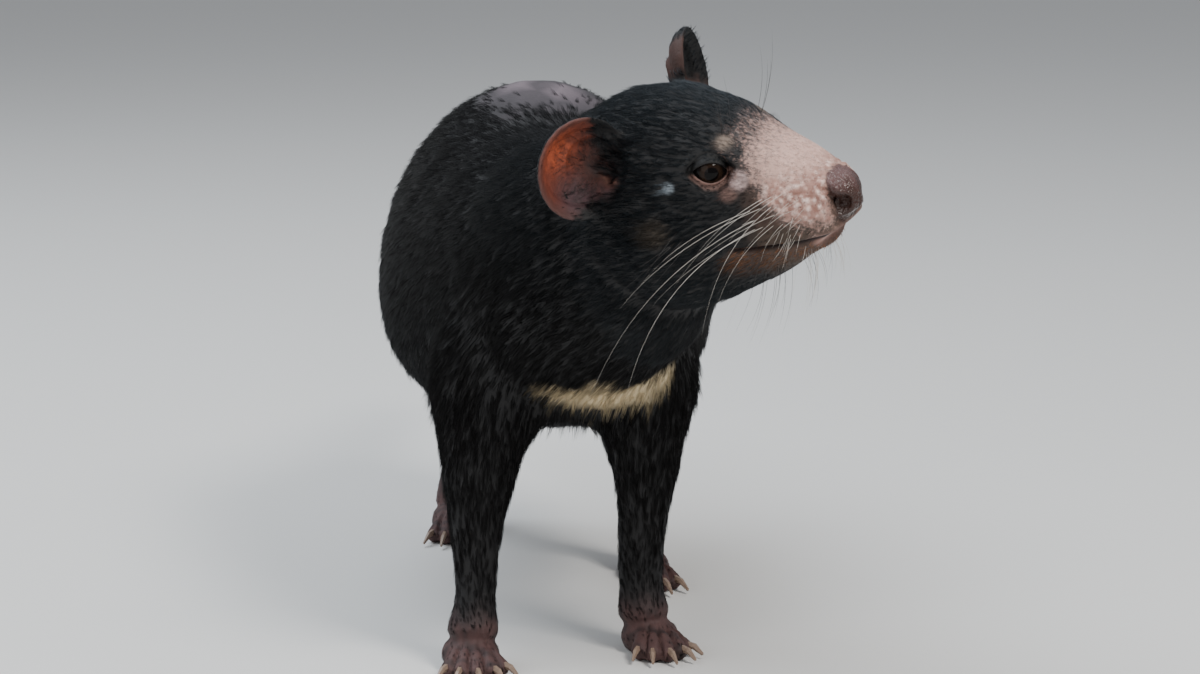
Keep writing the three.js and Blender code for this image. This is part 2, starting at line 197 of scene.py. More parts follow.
def settle(piece, material, slot, *nodes):
    if material:
        piece.data.materials.clear()
        piece.data.materials.append(material)
    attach(piece, "root")
    if nodes:
        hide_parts(*nodes)


# Node trees are written through these two classes: Sheet makes nodes, Wire is an output with arithmetic.
class Wire:
    def __init__(self, sheet, socket):
        self.sheet = sheet
        self.socket = socket

    def maths(self, operation, *values):
        return self.sheet.node("ShaderNodeMath", {"operation": operation}, dict(enumerate(values)))

    def __add__(self, other):
        return self.maths("ADD", self, other)

    def __sub__(self, other):
        return self.maths("SUBTRACT", self, other)

    def __rsub__(self, other):
        return self.maths("SUBTRACT", other, self)

    def __mul__(self, other):
        return self.maths("MULTIPLY", self, other)

    def __truediv__(self, other):
        return self.maths("DIVIDE", self, other)

    def __rtruediv__(self, other):
        return self.maths("DIVIDE", other, self)

    __radd__ = __add__
    __rmul__ = __mul__

    def between(self, start, end):
        values = {"Value": self, "From Min": start, "From Max": end}
        return self.sheet.node("ShaderNodeMapRange", {"interpolation_type": "SMOOTHSTEP"}, values)

    def scaled(self, factor):
        return self.sheet.node("ShaderNodeVectorMath", {"operation": "SCALE"}, {0: self, "Scale": factor})


class Sheet:
    def __init__(self, tree):
        self.tree = tree
        tree.nodes.clear()

    def node(self, kind, settings=None, values=None, out=0):
        node = self.tree.nodes.new(kind)
        for key, value in (settings or {}).items():
            if key == "stops":
                self.setStops(node.color_ramp.elements, value)
            else:
                setattr(node, key, value)
        for key, value in (values or {}).items():
            self.plug(node, key, value)
        return Wire(self, node.outputs[out]) if len(node.outputs) else node

    def setStops(self, elements, stops):
        while len(elements) < len(stops):
            elements.new(1.0)
        for element, (place, colour) in zip(elements, stops):
            element.position = place
            element.color = (*colour, 1.0)

    def plug(self, node, key, value):
        socket = node.inputs[key] if isinstance(key, int) else self.find(node, key)
        if isinstance(value, Wire):
            self.tree.links.new(value.socket, socket)
        elif value is not None:
            socket.default_value = value

    def find(self, node, key):
        named = [s for s in node.inputs if s.identifier == key] or [s for s in node.inputs if s.name == key]
        return named[0]

    def blend(self, factor, first, second):
        colours = [c if isinstance(c, Wire) else (*c, 1.0) for c in (first, second)]
        values = {"Factor_Float": factor, "A_Color": colours[0], "B_Color": colours[1]}
        return self.node("ShaderNodeMix", {"data_type": "RGBA", "clamp_factor": True}, values, out=2)

    def attribute(self, name, out="Color"):
        return self.node("ShaderNodeAttribute", {"attribute_name": name}, out=out)

    def share(self, name):
        return self.attribute(name, "Fac")

    def cells(self, scale, smoothness=None):
        settings = {"feature": "SMOOTH_F1" if smoothness else "F1"}
        values = {"Vector": self.place(), "Scale": scale, "Smoothness": smoothness}
        return self.node("ShaderNodeTexVoronoi", settings, values, out="Distance")

    def noise(self, scale, detail=3.0, roughness=0.5, place=None):
        values = {"Vector": place or self.place(), "Scale": scale, "Detail": detail, "Roughness": roughness}
        return self.node("ShaderNodeTexNoise", {}, values, out="Fac")

    def place(self):
        return self.node("ShaderNodeTexCoord", out="Object")

    def aside(self):
        values = {0: self.place(), 1: (0.37, 0.11, 0.23)}
        return self.node("ShaderNodeVectorMath", {"operation": "ADD"}, values)


def newMaterial(name, settings, recipe):
    material = bpy.data.materials.new(name)
    material.use_nodes = True
    sheet = Sheet(material.node_tree)
    shader = sheet.node("ShaderNodeBsdfPrincipled", {}, settings)
    for key, value in recipe(sheet).items():
        sheet.plug(shader.socket.node, key, value)
    sheet.node("ShaderNodeOutputMaterial", {}, {"Surface": shader})
    return material


def bumped(sheet, height, strength, distance):
    values = {"Height": height, "Strength": strength, "Distance": distance}
    return sheet.node("ShaderNodeBump", {}, values)


# The skin: one closed surface round all the flesh, drawn in by the coat's depth.
skinSettings = {
    "grow": 0.45 * mm,
    "earGrow": 0.15 * mm,
    "voxel": 1.15 * mm,
    "coarse": 3.6 * mm,
    "swell": 15.0 * mm,
    "shy": 0.6 * mm,
    "bodyRounds": 44,
    "headRounds": 7,
    "junctionRounds": 130,
    "spread": {"body": 12, "ear": 8, "head": 60, "depth": 60, "normal": 6, "fine": 4},
    "triangles": 150000,
}
coatDepths = {
    "torso": 3.4, "neck": 3.2, "head": 1.5, "lower_jaw": 1.0, "nose": 0.0, "ear": 0.55, "tail": 3.8,
    "upper": 2.8, "lower": 1.6, "foot": 0.2, "eye": 0.0,
}
headKinds = ("head", "lower_jaw", "nose", "eye")
fleshNodes = sorted(n for n in frame["nodes"] if not n.startswith("claw"))


def kindOf(node):
    return next(kind for kind in coatDepths if kind in node and (kind != "lower" or "leg" in node))


def mergedCopy(node):
    shape = bmesh.new()
    shape.from_mesh(frame["nodes"][node].data)
    bmesh.ops.remove_doubles(shape, verts=shape.verts, dist=1e-6)
    return shape


def gatherFlesh():
    allPoints, allFaces, owners, start = [], [], [], 0
    for index, node in enumerate(fleshNodes):
        shape = mergedCopy(node)
        shape.normal_update()
        grow = skinSettings["earGrow"] if node.startswith("ear") else skinSettings["grow"]
        allPoints += [v.co + v.normal * grow for v in shape.verts]
        allFaces += [[v.index + start for v in f.verts] for f in shape.faces]
        owners += [index] * len(shape.faces)
        start += len(shape.verts)
        shape.free()
    return allPoints, allFaces, owners


def voxelled(name, points, faces, size):
    piece = newObject(name, meshOf(name, points, faces))
    remesh = piece.modifiers.new("remesh", "REMESH")
    remesh.mode = "VOXEL"
    remesh.voxel_size = size
    return frozen(piece)


# Swelling the trunk and drawing it back again leaves soft flesh in the creases between neck, chest and legs.
def creaseFilling():
    allPoints, allFaces = [], []
    for node in fleshNodes:
        if kindOf(node) in ("torso", "neck", "upper", "tail"):
            shape = mergedCopy(node)
            allFaces += [[v.index + len(allPoints) for v in f.verts] for f in shape.faces]
            allPoints += [v.co.copy() for v in shape.verts]
            shape.free()
    swell, size = skinSettings["swell"], skinSettings["coarse"]
    for move in (swell, -swell - skinSettings["shy"]):
        piece = voxelled("filling", allPoints, allFaces, size)
        pulled = relaxed(pointsOf(piece.data), edgesOf(piece.data), 3, 0.5)
        setPoints(piece.data, pulled)
        moved = pulled + normalsOf(piece.data) * move
        allPoints, allFaces = [Vector(p) for p in moved], facesOf(piece.data)
        bpy.data.objects.remove(piece)
    return allPoints, allFaces


def ownersOf(points):
    found = [fleshTree.find_nearest(Vector(p))[2] for p in points]
    return np.array(owners)[found]


def kindsOf(owner):
    return np.array([kindOf(n) for n in fleshNodes])[owner]


def perKind(owner, table):
    values = np.array([table[kindOf(n)] for n in fleshNodes], float)
    return values[owner]


def faceRegion(head):
    front = rising(-head[:, 1], -25, 10)
    near = rising(-np.linalg.norm(head - np.array((0, -45, -30)), axis=1), -110, -75)
    return front * near


def thinned(piece, fineness):
    group = piece.vertex_groups.new(name="coarse")
    levels = np.round(1 - fineness, 1)
    for level in np.unique(levels):
        group.add(np.flatnonzero(levels == level).tolist(), float(max(level, 0.03)), "REPLACE")
    mesh = piece.data
    now = sum(len(p.vertices) - 2 for p in mesh.polygons)
    decimate = piece.modifiers.new("thin", "DECIMATE")
    decimate.ratio = skinSettings["triangles"] / now
    decimate.vertex_group = "coarse"
    decimate.vertex_group_factor = 1.0
    frozen(piece)
    piece.vertex_groups.clear()


points, faces, owners = gatherFlesh()
fleshTree = BVHTree.FromPolygons(points, faces)
fillPoints, fillFaces = creaseFilling()
faces = faces + [tuple(v + len(points) for v in f) for f in fillFaces]
skin = voxelled("skin", points + fillPoints, faces, skinSettings["voxel"])
print("skin: remeshed to", len(skin.data.vertices), "points")
spread = skinSettings["spread"]
edges = edgesOf(skin.data)
skinPoints = pointsOf(skin.data)
owner = ownersOf(skinPoints)
kinds = kindsOf(owner)
onFace = np.isin(kinds, headKinds + ("ear",))
loose = relaxed(1.0 - (onFace | (kinds == "foot")), edges, spread["body"])
earward = relaxed((kinds == "ear").astype(float), edges, spread["ear"])
headward = relaxed(onFace.astype(float), edges, spread["head"])
headWeight = 0.6 - 0.4 * np.clip(2 * earward, 0, 1)
bodyWeight = np.clip(loose * 1.3 - 0.3, 0, 1)
junctionWeight = 0.95 * np.clip(6 * headward * (1 - headward), 0, 1) * (1 - np.clip(3 * earward, 0, 1))
smoothings = {"headRounds": headWeight, "bodyRounds": bodyWeight, "junctionRounds": junctionWeight}
for rounds, weight in smoothings.items():
    skinPoints = relaxed(skinPoints, edges, skinSettings[rounds], weight[:, None])
setPoints(skin.data, skinPoints)
depth = perKind(owner, coatDepths)
headPlace = toHead(skinPoints)
depth = np.where(kinds == "head", depth * (0.25 + 0.75 * rising(headPlace[:, 1], -75, 0)), depth)
depth = relaxed(depth, edges, spread["depth"])
inward = unit(relaxed(normalsOf(skin.data), edges, spread["normal"]))
skinPoints = skinPoints - inward * (depth * mm)[:, None]
setPoints(skin.data, skinPoints)
fine = np.maximum(faceRegion(headPlace), np.isin(kinds, ("ear", "foot", "nose", "eye")).astype(float))
fine = relaxed(fine, edges, spread["fine"])
thinned(skin, fine)
print("skin: thinned to", len(skin.data.polygons), "faces")


# Eyes: the lids are drawn over each eyeball as a height above the eye's own middle.
eyeSettings = {
    "turn": 50.0,
    "tilt": 14.0,
    "halfWide": 7.9,
    "halfUp": 5.0,
    "halfDown": 4.3,
    "cornerPower": 1.7,
    "lid": 0.85,
    "sink": 1.5,
    "reach": 15.0,
}


def eyeAxes(hand):
    turn = math.radians(eyeSettings["turn"])
    tilt = math.radians(eyeSettings["tilt"])
    outward = np.array((hand * math.sin(turn), -math.cos(turn), 0.0))
    level = np.array((hand * math.cos(turn), math.sin(turn), 0.0))
    up = np.array((0.0, 0.0, 1.0))
    along = level * math.cos(tilt) + up * math.sin(tilt)
    above = up * math.cos(tilt) - level * math.sin(tilt)
    return np.stack((along, above, outward))


def eyeMiddle(hand):
    return toHead(np.array(midOf("eye_right" if hand < 0 else "eye_left"))[None])[0]


def toEye(head, hand):
    return (head - eyeMiddle(hand)) @ eyeAxes(hand).T


def fromEye(local, hand):
    return local @ eyeAxes(hand) + eyeMiddle(hand)


def lidGap(local):
    s = eyeSettings
    high = np.where(local[:, 1] > 0, s["halfUp"], s["halfDown"])
    wide = np.abs(local[:, 0]) / s["halfWide"]
    power = s["cornerPower"]
    ring = (wide ** power + (np.abs(local[:, 1]) / high) ** power) ** (1 / power)
    return (ring - 1) * (high * (1 - rising(wide, 0.3, 1.2)) + s["halfWide"] * rising(wide, 0.3, 1.2))


def lidded(head, hand):
    s = eyeSettings
    local = toEye(head, hand)
    gapOut = lidGap(local)
    across = np.linalg.norm(local[:, :2], axis=1)
    ball = headSettings["eyeRadius"] / mm
    dome = np.sqrt(np.maximum((ball + s["lid"]) ** 2 - across ** 2, 4.0))
    upper = rising(local[:, 1], -1.0, 1.5)
    lidTop = dome - 0.7 * hill(gapOut - 2.4, 0.6) * upper - 0.4 * hill(gapOut - 1.7, 0.5) * (1 - upper)
    lidTop = lidTop + 0.2 * hill(gapOut - 3.6, 0.8) - 0.35 * hill(gapOut - 5.0, 0.7) * (1 - upper)
    under = np.sqrt(np.maximum(ball ** 2 - across ** 2, 4.0)) - s["sink"]
    height = lidTop + (local[:, 2] - lidTop) * rising(gapOut, 1.2, 6.0)
    height = under + (height - under) * rising(gapOut, -0.35, 0.3)
    near = (np.linalg.norm(local, axis=1) < s["reach"]) & (local[:, 2] > 1.0) & (gapOut < 6.0)
    local[:, 2] = np.where(near, height, local[:, 2])
    return fromEye(local, hand)


# Mouth: a groove between the lips from under the nose back to each corner.
mouthSettings = {
    "frontY": -101.0, "frontZ": -50.0, "cornerY": -55.0, "cornerZ": -48.5,
    "depth": 2.0, "half": 0.95, "upperLip": 0.8, "lowerLip": 0.5,
}


def mouthOffset(head):
    m = mouthSettings
    share = np.clip((head[:, 1] - m["cornerY"]) / (m["frontY"] - m["cornerY"]), -0.2, 1.1)
    line = m["cornerZ"] + (m["frontZ"] - m["cornerZ"]) * share - 1.6 * np.sin(np.clip(share, 0, 1) * math.pi)
    return head[:, 2] - line, share


def mouthed(head, normals):
    m = mouthSettings
    offset, share = mouthOffset(head)
    live = rising(share, -0.04, 0.1) * (head[:, 1] > -112)
    groove = -m["depth"] * hill(offset, m["half"])
    lips = m["upperLip"] * hill(offset - 2.6, 1.8) + m["lowerLip"] * hill(offset + 2.4, 1.5)
    return head + normals * ((groove + lips) * live)[:, None]


def subdivideNear(mesh, spots, rounds):
    for limit in rounds:
        shape = bmesh.new()
        shape.from_mesh(mesh)
        head = toHead(pointsOf(mesh))
        close = np.zeros(len(head), bool)
        for spot, reach in spots:
            close |= np.linalg.norm(head - np.array(spot), axis=1) < reach
        offset, share = mouthOffset(head)
        close |= (np.abs(offset) < 5) & (share > -0.15) & (share < 1.15) & (head[:, 1] > -112)
        shape.verts.ensure_lookup_table()
        chosen = [e for e in shape.edges
                  if close[e.verts[0].index] and close[e.verts[1].index] and e.calc_length() > limit]
        bmesh.ops.subdivide_edges(shape, edges=chosen, cuts=1)
        bmesh.ops.triangulate(shape, faces=[f for f in shape.faces if len(f.verts) > 4])
        shape.to_mesh(mesh)
        shape.free()


# Nose pad: a comma-shaped nostril on each side, a raised wing round it, a groove down the middle.
noseSettings = {
    "nostril": (9.0, -105.8, -37.4), "hole": 4.1, "depth": 6.5,
    "slit": (12.6, -100.8, -28.5), "slitHalf": 1.4, "slitDepth": 2.6,
    "wing": 1.0, "philtrumHalf": 0.8, "philtrumDepth": 1.1, "underCut": 1.8,
    "edge": -98.6, "edgeLean": 0.12, "edgeBow": 0.34, "edgeLow": -46.5, "creaseDepth": 0.9,
}


def beforePadEdge(head):
    n = noseSettings
    edge = n["edge"] + n["edgeLean"] * (head[:, 2] + 36) - n["edgeBow"] * np.abs(head[:, 0])
    return edge - head[:, 1]


def nearestSkin(headPoint):
    place, normal = bareTree.find_nearest(Vector(fromHead(headPoint)))[:2]
    return toHead(np.array(place)[None])[0], np.array(normal) @ headAxes


def mirrored(head):
    return head * np.where(head[:, :1] < 0, (-1, 1, 1), (1, 1, 1))


def nostrilSpans(head):
    folded = mirrored(head)
    start, end = (nearestSkin(noseSettings[key])[0] for key in ("nostril", "slit"))
    share = np.clip((folded - start) @ (end - start) / np.sum((end - start) ** 2), 0, 1)
    toSlit = np.linalg.norm(folded - start - share[:, None] * (end - start), axis=1)
    return np.linalg.norm(folded - start, axis=1), toSlit, share


def nostrilled(head, normals):
    n = noseSettings
    toHole, toSlit, share = nostrilSpans(head)
    move = -n["depth"] * hill(toHole, n["hole"])
    move -= n["slitDepth"] * hill(toSlit, n["slitHalf"]) * rising(share, 0, 0.3)
    move += n["wing"] * hill(np.minimum(toHole, toSlit + 1.5) - 5.6, 1.4)
    front = rising(-head[:, 1], 102, 106)
    move -= n["philtrumDepth"] * hill(head[:, 0], n["philtrumHalf"]) * front * rising(-head[:, 2], 34, 38)
    crease = hill(beforePadEdge(head), 1.0) * rising(head[:, 2], -47, -42) * (head[:, 1] < -90)
    move -= n["creaseDepth"] * crease * rising(-head[:, 2], 22, 28)
    move -= n["underCut"] * rising(-head[:, 2], 41, 46) * rising(-head[:, 1], 99, 104)
    return head + normals * move[:, None]


# Rows of low mounds on the whisker pad, each the root of one whisker.
padSettings = {
    "rows": 4, "perRow": 6, "frontY": -93.0, "step": 4.3, "topZ": -25.0, "drop": 4.4,
    "height": 0.75, "half": 1.6, "from": 70.0,
}


def padRoots():
    p = padSettings
    roots = []
    for row in range(p["rows"]):
        for place in range(p["perRow"]):
            y = p["frontY"] + place * p["step"] + 1.4 * (row % 2)
            z = p["topZ"] - row * p["drop"] - 0.35 * place
            roots.append((y, z))
    return roots


# The places on the skin straight in from one side of the head.
def onSkin(headPoints, hand):
    places = []
    aim = Vector(dirFromHead(np.array((-hand, 0.0, 0.0))))
    for y, z in headPoints:
        start = Vector(fromHead(np.array((hand * padSettings["from"], y, z))))
        places.append(toHead(np.array(bareTree.ray_cast(start, aim)[0])[None])[0])
    return np.array(places)


def padded(head, normals, roots):
    move = np.zeros(len(head))
    near = np.flatnonzero((head[:, 1] < -60) & (head[:, 2] > -55))
    for root in roots:
        away = np.linalg.norm(head[near] - root, axis=1)
        move[near] += padSettings["height"] * hill(away, padSettings["half"])
    return head + normals * move[:, None]


# Ears: each cup has its own frame on the head, x outward along the ear, y into its back.
earSettings = {
    "root": (43.0, -2.0, -5.0),
    "half": {"wide": 25.0, "deep": 13.0, "tall": 26.0},
    -1: {"reach": 10.0, "turn": 30.0, "lift": 30.0},
    1: {"reach": 18.0, "turn": 22.0, "lift": 38.0},
}


def earTurnOf(hand):
    own = earSettings[hand]
    turn = Matrix.Rotation(math.radians(hand * own["turn"]), 3, "Z")
    return np.array(turn @ Matrix.Rotation(math.radians(-hand * own["lift"]), 3, "Y"))


def earRootOf(hand):
    return np.array(earSettings["root"]) * np.array((hand, 1, 1))


def toEar(head, hand):
    local = (head - earRootOf(hand)) @ earTurnOf(hand)
    local[:, 0] = hand * local[:, 0] - earSettings[hand]["reach"]
    return local


# The hollow of each ear runs on over the side of the head to its canal, with a small fold before it.
hollowSettings = {
    "half": 19.0, "inner": -15.0, "dip": 2.6, "canal": (-9.5, 1.0), "canalHalf": 3.2, "canalDepth": 4.4,
    "fold": (-13.0, -2.0), "foldHalf": 1.7, "foldRise": 2.2, "ridge": 13.5, "ridgeRise": 1.1,
}


def nearEar(head, local, hand):
    return (head[:, 0] * hand > 15) & (np.abs(local[:, 1]) < 22) & (local[:, 1] < 9)


def hollowShare(head, hand):
    h = hollowSettings
    local = toEar(head, hand)
    ring = np.hypot(local[:, 0] / h["half"], local[:, 2] / h["half"])
    share = rising(-ring, -1.0, -0.8) * rising(local[:, 0], h["inner"] - 1.5, h["inner"] + 1.5)
    return share * nearEar(head, local, hand)


def aroundCanal(local):
    canal = hollowSettings["canal"]
    x, z = local[:, 0] - canal[0], local[:, 2] - canal[1]
    return np.hypot(x, z), np.arctan2(z, x)


def foldShare(local):
    fold = hollowSettings["fold"]
    away = np.hypot((local[:, 0] - fold[0]) / 0.7, (local[:, 2] - fold[1]) / 1.6)
    return hill(away, hollowSettings["foldHalf"])


def insideEar(head):
    share = np.zeros(len(head))
    half = earSettings["half"]
    for hand in (-1, 1):
        local = toEar(head, hand)
        ring = np.linalg.norm(local / np.array((half["wide"], half["deep"], half["tall"])), axis=1)
        hollow = (ring < 1.0) & (local[:, 1] > -3) & (np.linalg.norm(local, axis=1) < 30)
        share = np.maximum(share, hollow * rising(-ring, -1.0, -0.955))
    return share


def canalled(head, normals):
    h = hollowSettings
    move = np.zeros(len(head))
    inner = insideEar(head)
    for hand in (-1, 1):
        local = toEar(head, hand)
        facing = rising(-(unit(normals) @ earTurnOf(hand)[:, 1]), 0.0, 0.4)
        toCanal, turn = aroundCanal(local)
        canal = h["dip"] + h["canalDepth"] * hill(toCanal, h["canalHalf"])
        move -= hollowShare(head, hand) * facing * canal
        ring = toCanal - h["ridge"]
        ridge = hill(ring - 3.0 * np.sin(turn * 1.5 + 0.6), 1.5) * rising(np.cos(turn - 0.7), 0.2, 0.7)
        onSide = head[:, 0] * hand > 15
        move += inner * onSide * h["ridgeRise"] * (ridge - 0.5 * hill(ring - 5, 2.0))
        move += nearEar(head, local, hand) * facing * h["foldRise"] * foldShare(local)
    return head + normals * move[:, None]


# Toes: grooves run back between the toes from the claws, and each toe has a knuckle.
toeSettings = {
    "start": 0.30, "grooveDepth": 2.6, "grooveHalf": 1.5, "reach": 36.0, "below": 4.0,
    "knuckle": 0.62, "knuckleRise": 0.9, "knuckleHalf": 3.0, "knuckleZ": 12.0, "heelIn": 12.0,
}


def toed(place, normals):
    t = toeSettings
    move = np.zeros(len(place))
    for foot in (n for n in fleshNodes if n.startswith("foot")):
        low, high = (np.array(c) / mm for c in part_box(foot))
        claws = sorted(n for n in frame["nodes"] if n.startswith(foot.replace("foot", "claw")))
        tips = np.array([np.array(midOf(c)) / mm for c in claws])
        heel = np.array(((low[0] + high[0]) / 2, high[1] - t["heelIn"], 8.0))
        close = np.linalg.norm(place - tips.mean(0), axis=1) < t["reach"]
        near = np.flatnonzero(close & (place[:, 2] < high[2] - t["below"]))
        own, outward = place[near], place[near, :2] - heel[:2]
        spread = []
        for tip in tips:
            axis = tip[:2] - heel[:2]
            share = np.clip(outward @ axis / (axis @ axis), 0, 1.1)
            spread.append(np.linalg.norm(outward - share[:, None] * axis, axis=1))
            knuckle = heel + (tip - heel) * t["knuckle"]
            knuckle[2] = t["knuckleZ"]
            move[near] += t["knuckleRise"] * hill(np.linalg.norm(own - knuckle, axis=1), t["knuckleHalf"])
        ranked = np.sort(np.array(spread), axis=0)
        toeLength = np.linalg.norm(tips[:, :2] - heel[:2], axis=1).mean()
        along = np.linalg.norm(outward, axis=1) / toeLength
        live = rising(along, t["start"], 0.7) * (normals[near, 2] > -0.5)
        move[near] -= t["grooveDepth"] * hill(ranked[1] - ranked[0], t["grooveHalf"]) * live
    return place + normals * move[:, None]


detailSpots = [(tuple(eyeMiddle(hand)), 16.0) for hand in (-1, 1)] + [((0.0, -104.0, -38.0), 20.0)]
subdivideNear(skin.data, detailSpots, (0.7 * mm, 0.5 * mm))
smoothing = 0.75 * insideEar(toHead(pointsOf(skin.data)))[:, None]
setPoints(skin.data, relaxed(pointsOf(skin.data), edgesOf(skin.data), 14, smoothing))
headPlace = toHead(pointsOf(skin.data))
headNormals = unit(normalsOf(skin.data) @ headAxes)
bareTree = treeOf(skin.data)
whiskerRoots = {hand: onSkin(padRoots(), hand) for hand in (-1, 1)}
headPlace = padded(headPlace, headNormals, np.vstack(list(whiskerRoots.values())))
headPlace = nostrilled(headPlace, headNormals)
headPlace = mouthed(headPlace, headNormals)
for hand in (-1, 1):
    headPlace = lidded(headPlace, hand)
headPlace = canalled(headPlace, headNormals)
bodyPlace = toed(fromHead(headPlace) / mm, unit(normalsOf(skin.data)))
bodyPlace[:, 2] = np.maximum(bodyPlace[:, 2], 0.05)
setPoints(skin.data, bodyPlace * mm)
print("skin: lids, nose, mouth and toes drawn,", len(skin.data.polygons), "faces")


# Colours, as seen under plain light, save a few that paint in light or shade, each noted where it stands; a
# function turns them into the renderer's own values.
def tone(red, green, blue):
    steps = np.array((red, green, blue))
    return np.where(steps > 10, ((steps / 255 + 0.055) / 1.055) ** 2.4, steps / 255 / 12.92)


tones = {
    "black": tone(9, 10, 12),
    "brownBlack": tone(19, 14, 12),
    "hide": tone(12, 11, 12),
    "pink": tone(208, 170, 157),
    "pinkDeep": tone(134, 94, 82),
    "pinkPale": tone(238, 210, 200),
    "pinkHair": tone(216, 188, 177),
    "brown": tone(70, 51, 42),
    "jawTan": tone(142, 92, 56),
    "lipPink": tone(198, 150, 136),
    "nose": tone(64, 40, 33),
    # painted highlight: the paler top of the nose pad
    "noseTopHighlight": tone(108, 82, 80),
    "lid": tone(150, 116, 106),
    "lidTan": tone(112, 86, 78),
    "lidDark": tone(9, 8, 8),
    "tan": tone(130, 114, 102),
    "grey": tone(104, 108, 112),
    "blueGrey": tone(150, 160, 168),
    "eyeFront": tone(186, 162, 158),
    "cheek": tone(58, 49, 39),
    "rust": tone(98, 48, 36),
    # painted light: the glowing orange where light comes through the ear
    "rustBacklit": tone(184, 88, 54),
    "lilac": tone(70, 49, 52),
    "rim": tone(74, 50, 46),
    # painted shade: the far ear's darker brown
    "earBrown": tone(50, 30, 23),
    "earLilac": tone(88, 86, 98),
    # painted shade: the dark in and round the ear canal, also used for the ear's radial streaks
    "canal": tone(24, 15, 14),
    "fold": tone(96, 66, 56),
    "cream": tone(214, 194, 156),
    "bare": tone(62, 56, 60),
    # partly a painted highlight: the paler middle of the bare patch
    "bareMottleAndSheen": tone(112, 100, 106),
    "foot": tone(76, 53, 51),
    "footDark": tone(40, 32, 32),
    # painted shade: the dark of the mouth's groove and of the gap under the lids
    "gapShade": tone(30, 16, 15),
    # painted shade: the near-black inside the nostrils
    "nostril": tone(11, 6, 6),
}

# Small markings on the head, in its own millimetres: middle, reach and tone.
markSettings = {
    "tanSpot": ((19.5, -57.0, -1.0), 4.8, "tan"),
    "darkSpot": ((21.0, -61.5, -5.5), 5.0, "black"),
    "greySpot": ((41.6, -35.4, -14.3), 2.9, "blueGrey"),
    "cheekSpot": ((48.6, -26.8, -34.4), 8.0, "cheek"),
    "beforeEye": ((27.0, -64.5, -17.0), 5.2, "eyeFront"),
    "belowEye": ((31.0, -60.5, -21.5), 4.5, "lidTan"),
}


def waver(points, size, seed):
    draw = np.random.default_rng(seed)
    total = np.zeros(len(points))
    for step in range(5):
        direction = unit(draw.normal(size=3)) * (2 * math.pi / size) * (1.0 + 0.55 * step)
        total += np.sin(points @ direction + draw.uniform(0, 6.28)) / (1 + 0.5 * step)
    return total / 2.2


def mixed(base, colour, share):
    return base + (colour - base) * np.clip(share, 0, 1)[:, None]


bandSettings = {
    "middleX": -1.0, "halfSpan": 37.0, "height": 135.0, "rise": 11.0, "half": 8.0, "frontOf": -175.0,
}


def bandShare(place):
    b = bandSettings
    across = np.clip((place[:, 0] - b["middleX"]) / b["halfSpan"], -1.2, 1.2)
    centre = b["height"] + b["rise"] * across ** 2
    half = b["half"] * np.clip(1 - np.abs(across) ** 1.7, 0, 1)
    off = np.abs(place[:, 2] - centre + 2.2 * waver(place, 26, 5))
    edge = rising(half * (1 + 0.35 * waver(place, 11, 6)) - off, -1.0, 1.2)
    return edge * (place[:, 1] < b["frontOf"]) * (half > 0.3)


bareSettings = {"middle": (-18.0, -28.0), "half": (40.0, 78.0), "from": 221.0, "to": 245.0}


def bareShare(place):
    b = bareSettings
    ring = np.linalg.norm((place[:, :2] - np.array(b["middle"])) / np.array(b["half"]), axis=1)
    above = rising(place[:, 2] + 3 * waver(place, 20, 9), b["from"], b["to"])
    return rising(1.0 + 0.2 * waver(place, 40, 8) - ring, -0.15, 0.45) * above


def pinkShare(head):
    lowest = np.interp(-head[:, 1], (56, 66, 75, 85, 104), (-5, -12, -25, -43, -52))
    edge = 3.0 * waver(head, 13, 2) + 1.6 * waver(head, 4.5, 31)
    low = 0.62 * rising(-head[:, 2] + 1.5 * edge, 31, 47)
    return rising(-head[:, 1] + edge, 44, 92) * rising(head[:, 2] + edge, lowest - 11, lowest + 8) * (1 - low)


def lipShare(head):
    offset, share = mouthOffset(head)
    return rising(share, 0.72, 0.92) * hill(offset + 2.8, 3.6)


def muzzleShare(head):
    return rising(-head[:, 1] + 2 * waver(head, 12, 3), 60, 78)


# Where tones begin and end, in millimetres: back along the head, down from the brow, or out from an edge.
paintSettings = {
    "brownBack": (35, 95), "lowMuzzle": (35, 46), "whiskerSpot": 0.7,
    "jawFront": (48, 60), "jawLow": (-68, -58), "noseBack": -92,
    "rim": 1.8, "rimLow": (20, 32), "noseLit": (-35, -22), "hole": 4.8, "slit": 2.0, "lipLine": 1.0,
    "lidDark": (-5.0, -2.0), "lidTan": (-4.5, -2.5), "lidEdge": 0.9, "lidFar": 16.0, "footTop": (-36, -17),
}


